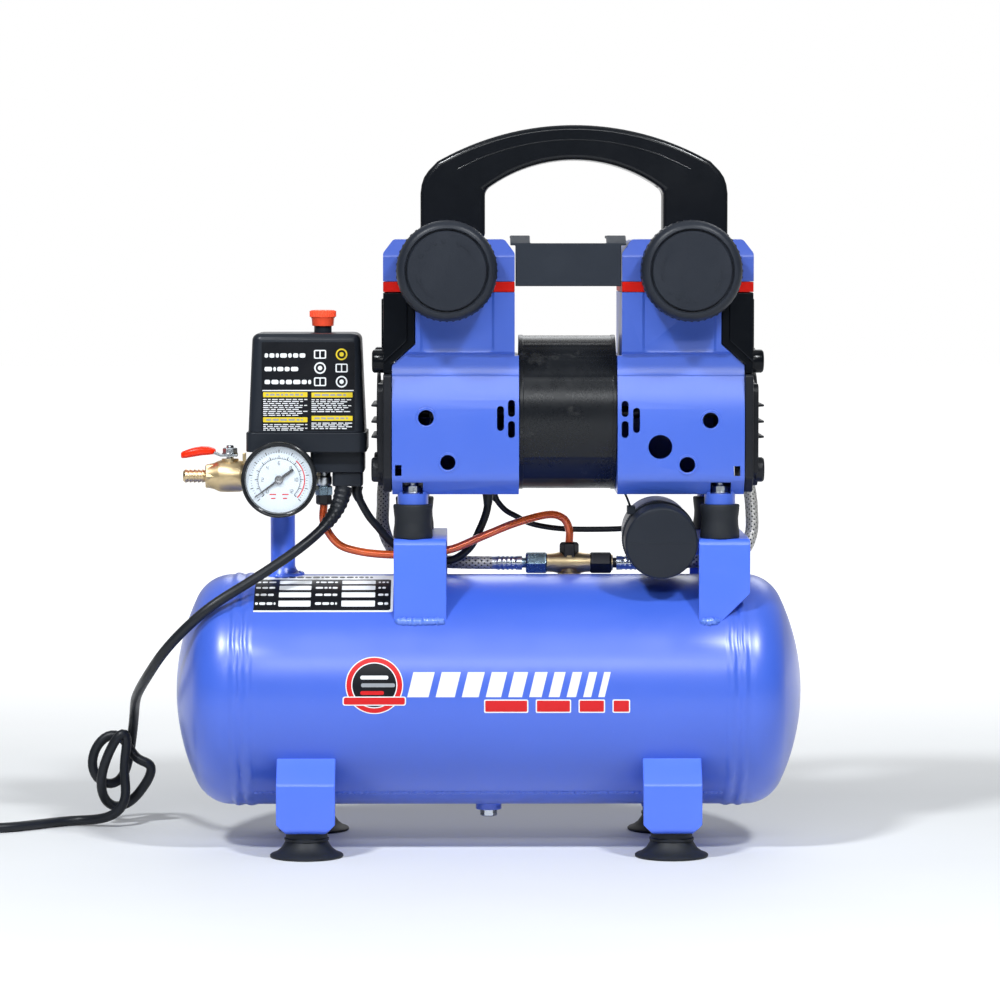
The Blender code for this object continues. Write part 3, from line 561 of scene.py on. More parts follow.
low_angle = math.radians(236.7)
seam = [
    (x, (TANK_R - 0.9) * math.cos(low_angle), TANK_Z + (TANK_R - 0.9) * math.sin(low_angle))
    for x in (-162, 0, 162)
]
drain = turned([(0, 24), (9, 24), (9, 27.5), (11.5, 31), (0, 31)], "Z", (0, 0, 0), 32)
drain_plug = turned([(0, 19), (5.4, 19), (6, 19.6), (6, 24.2), (0, 24.2)], "Z", (0, 0, 0), 6)
finish_piece("tank_seam", gather(weld_bead(seam, 3.8, 3), drain), tank_blue, smooth=60)


def metal(name, colour, roughness, turned_axis=None, tarnish=0.25):
    """Bare metal: fine tool marks, small rub marks and patches of tarnish."""
    look, place, shader = new_look(name, colour, metallic=1.0, roughness=roughness)
    patches = steps(noise(place, 70, 4), (0.35, 0.0), (0.75, 1.0))
    stretch = {
        "X": (2500, 60, 60), "Y": (60, 2500, 60), "Z": (60, 60, 2500)
    }.get(turned_axis, (500, 500, 900))
    marks = place.node("ShaderNodeMapping", None, {"Vector": place, "Scale": stretch})
    lines = noise(marks, 1.0)
    dull = [c * (1 - tarnish) for c in colour]
    feed(
        shader, base_color=patches.tint(colour, dull),
        roughness=lines * 0.12 + patches * 0.12 + (roughness - 0.08),
    )
    feed(shader, normal=relief(lines, 0.008, 0.4))
    return look


zinc = metal("zinc_plate", (0.62, 0.66, 0.70), 0.26)
finish_piece("drain_plug", drain_plug, zinc, bevel=0.4)


def rounded_box(low_x, high_x, low_y, high_y, radius, count=5):
    """The outline of a rectangle with round corners."""
    spots = []
    for x, y, start in (
        (high_x, high_y, 0), (low_x, high_y, 90), (low_x, low_y, 180), (high_x, low_y, 270)
    ):
        cx = x - math.copysign(radius, x - (low_x + high_x) / 2)
        cy = y - math.copysign(radius, y - (low_y + high_y) / 2)
        for k in range(count + 1):
            angle = math.radians(start + 90 * k / count)
            spots.append((cx + radius * math.cos(angle), cy + radius * math.sin(angle)))
    return spots


def round_spot(x, y, radius, count=48):
    turns = [2 * math.pi * k / count for k in range(count)]
    return [(x + radius * math.cos(t), y + radius * math.sin(t)) for t in turns]


def printed(layers):
    """Flat closed shapes on one sheet: (outline, low, high, material index) each."""
    shapes = []
    for outline, low, high, index in layers:
        shape = prism(outline, "Z", low, high)
        for face in shape.faces:
            face.material_index = index
        shapes.append(shape)
    return gather(*shapes)


def wrap_on_tank(shape):
    """Bends a flat sheet, drawn as along and up from the tank's front line, on to the tank."""
    heights = [v.co.y for v in shape.verts]
    cut_at = min(heights) + 2.5
    while cut_at < max(heights):
        geometry = [*shape.verts, *shape.edges, *shape.faces]
        bmesh.ops.bisect_plane(shape, geom=geometry, dist=1e-5, plane_co=(0, cut_at, 0), plane_no=(0, 1, 0))
        cut_at += 2.5
    for vert in shape.verts:
        angle, out = vert.co.y / TANK_R, TANK_R + vert.co.z
        vert.co = (vert.co.x, -out * math.cos(angle), TANK_Z + out * math.sin(angle))
    return shape


def print_ink(name, colour, roughness=0.35):
    """Screen ink on film: a faint dot grain and small changes of gloss."""
    look, place, shader = new_look(name, colour, roughness=roughness, specular_ior_level=0.2)
    grain = noise(place, 1400, 2)
    worn = [c * 0.86 + 0.006 for c in colour]
    feed(
        shader, base_color=(grain * 0.7).tint(colour, worn),
        roughness=noise(place, 120, 3) * 0.2 + (roughness - 0.1),
    )
    feed(shader, normal=relief(grain, 0.008, 0.4))
    return look


film_white = print_ink("film_white", (0.80, 0.82, 0.84))
ink_black = print_ink("ink_black", (0.004, 0.005, 0.008))
ink_red = print_ink("ink_red", (0.62, 0.015, 0.018))
ink_yellow = print_ink("ink_yellow", (0.72, 0.55, 0.03))
ink_grey = print_ink("ink_grey", (0.30, 0.32, 0.35))
INKS = [film_white, ink_black, ink_red, ink_yellow, ink_grey]
BASE, INK, TOP = (0.02, 0.12), (0.12, 0.15), (0.15, 0.18)


def dashes(low_x, high_x, y, tall, index, seed, layer=INK):
    """A row of short bars where small print would be."""
    rng = random.Random(seed)
    rows, x = [], low_x
    while x < high_x - 1.2:
        wide = min(rng.uniform(1.6, 5.2), high_x - x)
        rows.append((rounded_box(x, x + wide, y - tall / 2, y + tall / 2, tall * 0.3, 2), *layer, index))
        x += wide + 0.9
    return rows


plate = [(rounded_box(-164, -65.6, 65.5, 117.5, 1.2), *BASE, 0)]
plate += [(rounded_box(-162.3, -67.3, 67, 106.5, 2.0), *INK, 1)]
plate += dashes(-148, -80, 111.8, 4.2, 1, 5)
for row, y in enumerate((101, 92.2, 83.2, 73.6)):
    plate += dashes(-160, -146, y, 2.6, 0, 11 + row, TOP)
    plate.append((rounded_box(-144, -122, y - 3.0, y + 3.0, 0.8), *TOP, 0))
    plate += dashes(-119, -104, y, 2.6, 0, 21 + row, TOP)
    plate.append((rounded_box(-101, -78, y - 3.0, y + 3.0, 0.8), *TOP, 0))
    plate += dashes(-76, -69, y, 2.6, 0, 31 + row, TOP)
finish_piece("rating_plate", wrap_on_tank(printed(plate)), INKS)

BADGE = (-77.8, 10.9)
badge = [
    (round_spot(*BADGE, 19.6), *BASE, 0), (round_spot(*BADGE, 18.9), *INK, 2),
    (round_spot(*BADGE, 15.6), *TOP, 0),
]
badge += [(round_spot(*BADGE, 14.9), 0.18, 0.21, 1)]
for k, (reach, shift) in enumerate(((9.5, 0), (11.5, 2.5), (8.0, -1.5))):
    y = BADGE[1] + 5.2 - 5.2 * k
    bar = rounded_box(BADGE[0] - reach + shift, BADGE[0] + reach + shift, y - 1.3, y + 1.3, 1.2, 4)
    badge.append((bar, 0.21, 0.24, (0, 4, 2)[k]))
band = rounded_box(BADGE[0] - 21.5, BADGE[0] + 21.5, BADGE[1] - 13.8, BADGE[1] - 7.6, 1.6)
badge += [
    (band, 0.21, 0.25, 0),
    (rounded_box(BADGE[0] - 20.7, BADGE[0] + 20.7, BADGE[1] - 13.1, BADGE[1] - 8.3, 1.2), 0.25, 0.28, 2),
]
finish_piece("tank_badge", wrap_on_tank(printed(badge)), INKS)

stripes, x = [], -55.5
for wide in (17, 15.5, 14, 13, 12, 11, 10, 9, 8, 7):
    slant = 4.2
    stripes.append(
        (
            [(x, 2.8), (x + wide - 2.6, 2.8), (x + wide - 2.6 + slant, 19.8), (x + slant, 19.8)], 0.02,
            0.10, 0,
        )
    )
    x += wide + 2.2
x = -3.5
for k, wide in enumerate((30, 24, 18, 12)):
    stripes.append((rounded_box(x, x + wide, -8.0, 1.2, 1.0, 3), 0.02, 0.10, 0))
    stripes.append((rounded_box(x + 0.8, x + wide - 0.8, -7.2, 0.4, 0.7, 3), 0.10, 0.13, 2))
    x += wide + 5
finish_piece("tank_stripes", wrap_on_tank(printed(stripes)), INKS)

# ---------------------------------------------------------------------------------------------
# Four feet: pressed steel angle brackets welded to the tank and sprayed with it, each standing
# on a moulded rubber suction cup that a bolt and washer hold up to the flange.
# ---------------------------------------------------------------------------------------------

bracket_blue = painted("bracket_blue", (0.060, 0.155, 0.84), 0.34)
# The weld beads' copy of the brackets' blue, made paler and whiter: a painted highlight on the weld
# ripples, besides its glossier finish.
bead_highlight_blue = painted("bead_highlight_blue", (0.10, 0.21, 0.70), 0.18)
rubber = sheath("moulded_rubber", (0.010, 0.012, 0.016), 0.55, 0.4)
FOOT_X, FOOT_Y = 124.5, 65.0


def eased(outline, radii, count=4):
    """An outline whose corners are turned to arcs; a radius of 0 keeps a corner."""
    spots = []
    total = len(outline)
    for k, radius in enumerate(radii):
        spot = Vector(outline[k])
        before = (Vector(outline[k - 1]) - spot).normalized()
        after = (Vector(outline[(k + 1) % total]) - spot).normalized()
        if not radius:
            spots.append(tuple(spot))
            continue
        half_angle = before.angle(after) / 2
        reach = radius / math.tan(half_angle)
        centre = spot + (before + after).normalized() * (radius / math.sin(half_angle))
        first, final = spot + before * reach - centre, spot + after * reach - centre
        for j in range(count + 1):
            way = first.lerp(final, j / count).normalized()
            spots.append(tuple(centre + way * radius))
    return spots


def trim(shape, at, facing):
    """Cuts off what lies on the facing side of a plane, and closes the cut."""
    geometry = [*shape.verts, *shape.edges, *shape.faces]
    bmesh.ops.bisect_plane(shape, geom=geometry, dist=1e-4, plane_co=at, plane_no=facing, clear_outer=True)
    bmesh.ops.holes_fill(shape, edges=[e for e in shape.edges if e.is_boundary], sides=0)
    return shape


def bolt_head(centre, axis, flat, low, high, washer=0.0):
    """A hexagon head, with a chamfered crown and a washer under it."""
    sign = 1 if high > low else -1
    across = flat / math.sqrt(3)
    head = turned(
        [(0, low), (across, low), (across, high - sign * 0.5), (across * 0.86, high), (0, high)], axis,
        centre, 6,
    )
    if washer:
        ring = [
            (0, low - sign * 0.1), (washer, low - sign * 0.1), (washer, low + sign * 1.0),
            (0, low + sign * 1.0),
        ]
        head = gather(head, turned(ring, axis, centre, 28))
    return head


for y_side, row in ((-1, "front"), (1, "rear")):
    sheet = [(84, 17.5), (42, 17.5), (42, 20.5), (81, 20.5), (81, 49.8), (61, 72), (63.2, 74.2), (84, 51)]
    sheet = eased(sheet, (4.5, 0, 0, 1.5, 1.6, 0, 0, 4.6))
    sheet = [(y_side * y, z) for y, z in sheet]
    for x_side, side in ((-1, "left"), (1, "right")):
        x, y = x_side * FOOT_X, y_side * FOOT_Y
        bracket = prism(sheet, "X", x - 20, x + 20)
        for end in (-1, 1):
            bracket = trim(bracket, (x + end * 20, y, 24), (end, 0, -1))
        finish_piece(
            f"foot_bracket_{row}_{side}", bracket, bracket_blue, bevel=0.7,
            stands_for=[f"foot_bracket_{row}_{side}"],
        )
        contact = []
        for k in range(9):
            contact.append(
                (
                    x - 22 + 5.5 * k, y_side * (60.6 + 0.5 * math.sin(2 * k + x)),
                    71.8 + 0.4 * math.sin(3 * k + y),
                )
            )
        beads = weld_bead([(cx, cy * 1.003, cz - 1.3) for cx, cy, cz in contact], 5.2, int(x + 2 * y) + 500)
        finish_piece(f"foot_weld_{row}_{side}", beads, bead_highlight_blue, smooth=60)
        cup = [
            (0, 4.6), (12, 3.2), (20, 1.2), (23.4, 0.0), (24.6, 0.0), (25, 0.5), (25, 1.5), (24.2, 2.2),
            (21, 3.4),
        ]
        cup += [
            (17.6, 6.0), (15.4, 9.2), (14.6, 11.0), (15.2, 11.6), (15.2, 13.0), (14.2, 13.5),
            (14.2, 17.3), (0, 17.3),
        ]
        finish_piece(
            f"suction_cup_{row}_{side}", turned(cup, "Z", (x, y, 0), 64), rubber, smooth=38,
            stands_for=[f"suction_foot_{row}_{side}"],
        )
        nut = bolt_head((x, y, 0), "Z", 10, 20.6, 26.5, 9.0)
        finish_piece(f"foot_bolt_{row}_{side}", nut, zinc, bevel=0.3)

# ---------------------------------------------------------------------------------------------
# Two pump saddles: bent steel sheet in an upturned U, welded across the tank, and four rubber
# mounts with moulded-in studs that carry the pump on them.
# ---------------------------------------------------------------------------------------------

MOUNT_X, MOUNT_Y, SADDLE_TOP, MOUNT_TOP = (-52.0, 158.0), 45.0, 216.5, 239.5
sheet = eased([(-60, 150), (-60, SADDLE_TOP), (60, SADDLE_TOP), (60, 150)], (0, 4.5, 4.5, 0))
sheet += eased([(57, 150), (57, SADDLE_TOP - 3), (-57, SADDLE_TOP - 3), (-57, 150)], (0, 1.6, 1.6, 0))
for side, low, high, mount in (("left", -65, -29, MOUNT_X[0]), ("right", 143, 178, MOUNT_X[1])):
    saddle = prism(sheet, "X", low, high)
    if side == "right":
        saddle = trim(saddle, (178, 0, 179.5), (1, 0, -1))
    finish_piece(
        f"pump_saddle_{side}", saddle, bracket_blue, bevel=0.7, stands_for=[f"pump_bracket_{side}"]
    )
    for y_side, row in ((-1, "front"), (1, "rear")):
        end = high - (20 if side == "right" else 0)
        run = [
            (low + 1, y_side * 60.6, 160.3), ((low + end) / 2, y_side * 61, 160.0),
            (end - 1, y_side * 60.6, 160.6),
        ]
        finish_piece(
            f"saddle_weld_{row}_{side}", weld_bead(run, 5.6, len(side) + y_side * 3 + 40), bead_highlight_blue,
            smooth=60,
        )
        waist = [
            (0, SADDLE_TOP + 0.2), (13.2, SADDLE_TOP + 0.2), (13.5, SADDLE_TOP + 0.8), (13.4, 221),
            (12.7, 226), (12.6, 230),
        ]
        waist += [(13.2, 235), (13.5, 238.6), (13.1, MOUNT_TOP), (0, MOUNT_TOP)]
        centre = (mount, y_side * MOUNT_Y, 0)
        finish_piece(
            f"rubber_mount_{row}_{side}", turned(waist, "Z", centre, 40), rubber, smooth=45,
            stands_for=[f"rubber_mount_{row}_{side}"],
        )
        stud = turned([(0, 239), (3, 239), (3, 254.3), (2.4, 255), (0, 255)], "Z", centre, 20)
        stud = gather(
            stud, bolt_head(centre, "Z", 10, 247.2, 252.6, 6.6),
            turned([(0, 205), (3, 205), (3, 213), (0, 213)], "Z", centre, 20),
        )
        stud = gather(stud, bolt_head(centre, "Z", 10, 213.2, 208, 7.0))
        finish_piece(f"mount_stud_{row}_{side}", stud, zinc, bevel=0.25)

# ---------------------------------------------------------------------------------------------
# Two crankcases: die-cast shells in glossy blue plastic coating, one each side of the motor, with
# a hollow column for the cylinder. Screws through the round holes clamp them to the motor.
# ---------------------------------------------------------------------------------------------

PUMP_X, SHAFT_Z, BORE_U, THROW = 54.0, 301.0, 82.5, 5.0
SIDES = ((-1, "left"), (1, "right"))
case_blue = painted("case_blue", (0.044, 0.116, 0.57), 0.38, 0.02)
head_blue = painted("head_blue", (0.030, 0.078, 0.40), 0.38, 0.02)


def across(side, *values):
    """Distances from the pump's middle, turned into X for its left or its right half."""
    return [PUMP_X + side * value for value in values]


def combine(base, operation, *tools):
    """Joins, cuts or intersects closed shapes exactly."""
    for tool in tools:
        pair = []
        for shape in (base, tool):
            mesh = bpy.data.meshes.new("spare")
            shape.to_mesh(mesh)
            shape.free()
            thing = bpy.data.objects.new("spare", mesh)
            bpy.context.collection.objects.link(thing)
            pair.append(thing)
        modifier = pair[0].modifiers.new("combine", "BOOLEAN")
        modifier.operation, modifier.solver, modifier.object = operation, "EXACT", pair[1]
        base = bmesh.new()
        base.from_object(pair[0], bpy.context.evaluated_depsgraph_get())
        for thing in pair:
            mesh = thing.data
            bpy.data.objects.remove(thing, do_unlink=True)
            bpy.data.meshes.remove(mesh)
    return base


def rod(radius, axis, centre, low, high, segments=32):
    return turned([(0, low), (radius, low), (radius, high), (0, high)], axis, centre, segments)


def slot_tool(x, low, high, wide):
    """A round-ended upright slot through the front wall."""
    return prism(rounded_box(x - wide / 2, x + wide / 2, low, high, wide / 2 - 0.01, 6), "Y", -62, -37)


for side, name in SIDES:
    flank = [
        (47.8, 246.5), (49.0, 247.0), (56.4, 255.4), (57.5, 257.4), (57.9, 262), (58, 272), (57.9, 282)
    ]
    flank += [
        (57.7, 290), (57.3, 298), (56.6, 305), (55.6, 311), (54.4, 316.5), (53.2, 321.5), (51.9, 327.2)
    ]
    flank += [(52.2, 328.2), (51.6, 329.4), (51.0, 335), (50.6, 341)]
    body = [*flank, *[(-y, z) for y, z in reversed(flank)]]
    case = prism(body, "X", *sorted(across(side, 33.6, 120)))
    shoulder = [
        (PUMP_X + side * u, z)
        for u, z in [(100, 352.2), (120.3, 334.3), (124, 334.3), (124, 356), (100, 356)]
    ]
    case = combine(case, "DIFFERENCE", prism(shoulder, "Y", -70, 70))
    column = [
        (PUMP_X + side * u, z)
        for u, z in [(36.5, 330), (119.9, 330), (119.9, 335), (104, 349), (104, 384.3), (36.5, 384.3)]
    ]
    upright = [(50.6, 330), (50.6, 342), (54, 344), (54, 386)]
    upright = prism(
        [*upright, *[(-y, z) for y, z in reversed(upright)]], "X", *sorted(across(side, 30, 125))
    )
    case = combine(case, "UNION", combine(prism(column, "Y", -54, 54), "INTERSECT", upright))
    for face_y, depth in ((-54, 1.1), (54, -1.1)):
        low, high = sorted(across(side, 50.3, 100.9))
        outer = rounded_box(low, high, 341.0, 400, 5)
        inner = rounded_box(low + 1.8, high - 1.8, 344.4, 400, 3.4)
        rings = [[(x, face_y - depth, z) for x, z in outer], [(x, face_y, z) for x, z in outer]]
        rings.append([(x, face_y + depth, z) for x, z in inner])
        case = combine(case, "DIFFERENCE", ring_stack(rings))
    hollow = [(46, 250.5), (53.5, 258.5), (53.5, 296), (48.5, 326), (46, 337)]
    hollow += [(-y, z) for y, z in reversed(hollow)]
    low, high = sorted(across(side, 40.5, 105))
    bore = rod(21, "Z", (PUMP_X + side * BORE_U, 0, 0), 330, 352, 40)
    shaft_hole = rod(4.4, "X", (0, 0, SHAFT_Z), *sorted(across(side, 31, 42)), 32)
    case = combine(
        case, "DIFFERENCE", prism(hollow, "X", *sorted(across(side, 36.4, 121))),
        block((low, -50, 349.7), (high, 50, 386)), bore, shaft_hole,
    )
    mount = MOUNT_X[0] if side < 0 else MOUNT_X[1]
    for y_side in (-1, 1):
        case = combine(
            case, "UNION", rod(10.5, "Z", (mount, y_side * MOUNT_Y, 0), MOUNT_TOP + 0.3, 248.5, 32)
        )
        near, far = sorted((y_side * 60, y_side * 37))
        case = combine(
            case, "DIFFERENCE", rod(3.3, "Z", (mount, y_side * MOUNT_Y, 0), 230, 260, 20),
            block((mount - 7, near, 247.1), (mount + 7, far, 255)),
        )
    if side < 0:
        holes = [(-42.9, 299.1, 5.4), (-28.0, 268.7, 5.2)]
        slots = [(7.8, 290.2, 307.2), (15.3, 299.7, 311.3), (15.3, 285.4, 297.0)]
        window = block((-64, -62, 259.6), (-59.5, -50, 267))
    else:
        holes = [(150.8, 297.3, 5.4), (116.6, 279.3, 8.2), (135.0, 267.1, 5.4)]
        slots = [(92.6, 299.7, 310.6), (92.6, 285.4, 297.0), (100.4, 288.8, 305.9)]
        window = block((166.7, -62, 259.4), (171.1, -50, 266.2))
    tools = [rod(r, "Y", (x, 0, z), -62, -50, 36) for x, z, r in holes]
    tools += [slot_tool(x, low, high, 4.8) for x, low, high in slots] + [window]
    case = combine(case, "DIFFERENCE", *tools)
    finish_piece(
        f"crankcase_{name}", case, case_blue, bevel=0.7, smooth=30, over=28,
        stands_for=[f"crankcase_{name}"],
    )
    lips = []
    for x, z, r in holes if side < 0 else holes[::2]:
        face = -57.4 if z > 290 else -58.0
        lip = [(0.05, -0.1), (0.9, -0.4), (1.6, -0.2), (1.9, 0.7), (0.05, 1.8)]
        lips.append(turned([(r + wide, face + out) for wide, out in lip], "Y", (x, 0, z), 40))
    finish_piece(f"case_lips_{name}", gather(*lips), case_blue, smooth=50)

# ---------------------------------------------------------------------------------------------
# The motor between them: a black drawn shell with rolled creases, laminated stator, lacquered
# windings and a rotor on the shaft that drives both fans and both eccentrics.
# ---------------------------------------------------------------------------------------------


def moulded(name, colour, roughness, grain=900, depth=0.05, smudge=0.0, gloss=0.25):
    """Injection-moulded plastic: a spark-eroded grain, flow marks, and light rub marks."""
    look, place, shader = new_look(name, colour, roughness=roughness, specular_ior_level=gloss)
    fine = noise(place, grain, 3, 0.6)
    flow = noise(place, 22, 4, 0.6)
    rubbed = steps(flow, (0.50, 0.0), (0.78, 1.0))
    pale = [c * 1.35 + 0.002 for c in colour]
    base = flow.tint(colour, pale)
    if smudge:
        chalk = steps(noise(place, 34, 6, 0.7), (0.60, 0.0), (0.82, 1.0))
        base = (chalk * smudge).tint(base, (0.20, 0.20, 0.19))
    feed(shader, base_color=base, roughness=rubbed * 0.12 + fine * 0.10 + (roughness - 0.08))
    feed(shader, normal=relief(fine, depth, 0.6))
    return look


motor_black = moulded("motor_shell_black", (0.004, 0.005, 0.007), 0.30, 500, 0.010, smudge=0.30, gloss=0.3)
outline = []
for k in range(240):
    angle = 2 * math.pi * (k + 0.5) / 240
    radius = 53.0
    for crease in (28, 48, 62, -33, -57):
        apart = abs((math.degrees(angle) - 180 + crease + 180) % 360 - 180)
        radius += 0.42 * max(0.0, 1 - apart / 1.9)
    outline.append((radius * math.cos(angle), SHAFT_Z + radius * math.sin(angle)))
sleeve = combine(
    prism(outline, "X", 20.7, 87.3), "DIFFERENCE", rod(49.5, "X", (0, 0, SHAFT_Z), 10, 100, 96)
)
for low, high in ((20.7, 23.6), (84.4, 87.3)):
    sleeve = gather(
        sleeve, turned([(50, low), (53.5, low), (53.5, high), (50, high)], "X", (0, 0, SHAFT_Z), 144)
    )
finish_piece("motor_sleeve", sleeve, motor_black, bevel=0.4, smooth=25, stands_for=["motor_shell"])

core, place, shader = new_look("core_laminations", (0.22, 0.22, 0.23), metallic=1.0, roughness=0.42)
leaves = place.node(
    "ShaderNodeTexWave", {"wave_type": "BANDS", "bands_direction": "X"},
    {"Vector": place, "Scale": 320.0, "Distortion": 0.3, "Detail": 2.0}, 1,
)
feed(
    shader, base_color=noise(place, 90, 4).tint((0.20, 0.20, 0.21), (0.34, 0.30, 0.27)),
    roughness=leaves * 0.2 + 0.32, normal=relief(leaves, 0.12, 0.8),
)
lacquer, place, shader = new_look(
    "winding_lacquer", (0.42, 0.13, 0.04), metallic=0.7, roughness=0.30, coat_weight=0.5
)
strands = place.node(
    "ShaderNodeTexWave", {"wave_type": "RINGS", "rings_direction": "X"},
    {"Vector": place, "Scale": 500.0, "Distortion": 3.0, "Detail": 2.0}, 1,
)
feed(
    shader, base_color=strands.tint((0.20, 0.05, 0.02), (0.62, 0.25, 0.10)),
    normal=relief(strands, 0.3, 0.9),
)
for low, high, end in ((24.5, 33.8, "left"), (74.2, 83.5, "right")):
    bundle = [(31, low + 1.5), (35, low), (43, low), (46.5, low + 2), (46.5, high), (31, high)]
    if end == "right":
        bundle = [(31, low), (46.5, low), (46.5, high - 2), (43, high), (35, high), (31, high - 1.5)]
    finish_piece(f"winding_head_{end}", turned(bundle, "X", (0, 0, SHAFT_Z), 96), lacquer, smooth=50)
steel = metal("ground_steel", (0.56, 0.57, 0.58), 0.28, "X")
cast_alloy = metal("cast_alloy", (0.60, 0.61, 0.62), 0.42)
fan_black = moulded("fan_black", (0.016, 0.017, 0.019), 0.40)
kept = {"stator_core": core, "rotor": core}
for side, name in SIDES:
    kept |= {
        f"eccentric_{name}": steel, f"piston_rod_{name}": cast_alloy,
        f"cylinder_liner_{name}": cast_alloy, f"fan_{name}": fan_black,
    }
for node, look in kept.items():
    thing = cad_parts[node]
    thing.data.materials.clear()
    thing.data.materials.append(look)
for side, name in SIDES:
    ring = turned(
        [(24.3, 0), (25.4, 0.2), (25.4, 2.4), (24.3, 2.4)], "Z",
        (PUMP_X + side * BORE_U, 0, SHAFT_Z - side * THROW + 71), 72,
    )
    finish_piece(f"piston_ring_{name}", ring, rubber, body=f"rod_{name}", bevel=0.3)

# ---------------------------------------------------------------------------------------------
# Cylinder heads: painted castings with cooling space inside, clamped on a red plastic spacer
# by four screws, with the inlet boss in front and the outlet block behind.
# ---------------------------------------------------------------------------------------------

spacer_red = moulded("spacer_red", (0.44, 0.006, 0.003), 0.40, 700, 0.02, gloss=0.12)
socket_black = metal("black_oxide", (0.05, 0.05, 0.055), 0.40)
for side, name in SIDES:
    low, high = sorted(across(side, 36.5, 126))
    bore_x = PUMP_X + side * BORE_U
    spacer = prism(rounded_box(low, high, -54, 54, 1.5), "Z", 384.6, 391.5)
    finish_piece(f"head_spacer_{name}", spacer, spacer_red, bevel=0.35, stands_for=[f"head_gasket_{name}"])
    front = eased(
        [(low, 391.8), (high, 391.8), (high, 411), (high - 7, 420.5), (low + 7, 420.5), (low, 411)],
        (0, 0, 4, 4, 4, 4),
    )
    flank = eased(
        [(-54, 391.8), (54, 391.8), (54, 409), (46, 420.5), (-46, 420.5), (-54, 409)], (0, 0, 3, 3, 3, 3)
    )
    head = combine(prism(front, "Y", -54, 54), "INTERSECT", prism(flank, "X", low - 1, high + 1))
    boss = rod(24, "Y", (bore_x, 0, 399), -59.8, -50, 64)
    head = combine(head, "UNION", boss, block((bore_x - 8, 48, 398), (bore_x + 8, 78, 412)))
    screw_spots = [(x, y, 0) for x in (low + 15, high - 15) for y in (-36, 36)]
    head = combine(head, "DIFFERENCE", *[rod(6.6, "Z", spot, 414.6, 424, 32) for spot in screw_spots])
    finish_piece(
        f"cylinder_head_{name}", head, head_blue, bevel=1.0, smooth=30, over=25, rounds=3,
        stands_for=[f"cylinder_head_{name}"],
    )
    screws = []
    for spot in screw_spots:
        washer = turned([(0, 414.2), (6.3, 414.2), (6.3, 415.8), (0, 415.8)], "Z", spot, 32)
        cap = [(0, 415.4), (5.0, 415.4), (5.0, 419.4), (4.3, 420.2), (2.7, 420.2), (2.7, 417.2), (0, 417.2)]
        screws.append(gather(turned(cap, "Z", spot, 32), washer))
    finish_piece(f"head_screws_{name}", gather(*screws), socket_black, bevel=0.25)
    elbow = gather(
        bolt_head((bore_x, 70, 0), "Z", 12, 398.2, 390.5), rod(5.2, "Z", (bore_x, 70, 0), 411, 413.5, 32)
    )
    elbow = gather(elbow, bolt_head((bore_x, 70, 0), "Z", 11, 412, 416.5))
    finish_piece(f"head_outlet_{name}", elbow, zinc, bevel=0.3)

# ---------------------------------------------------------------------------------------------
# Black plastic covers: one down the outside of each column with a raised panel, and one over
# each fan with louvres and air slots. Screws in round lugs hold them.
# ---------------------------------------------------------------------------------------------

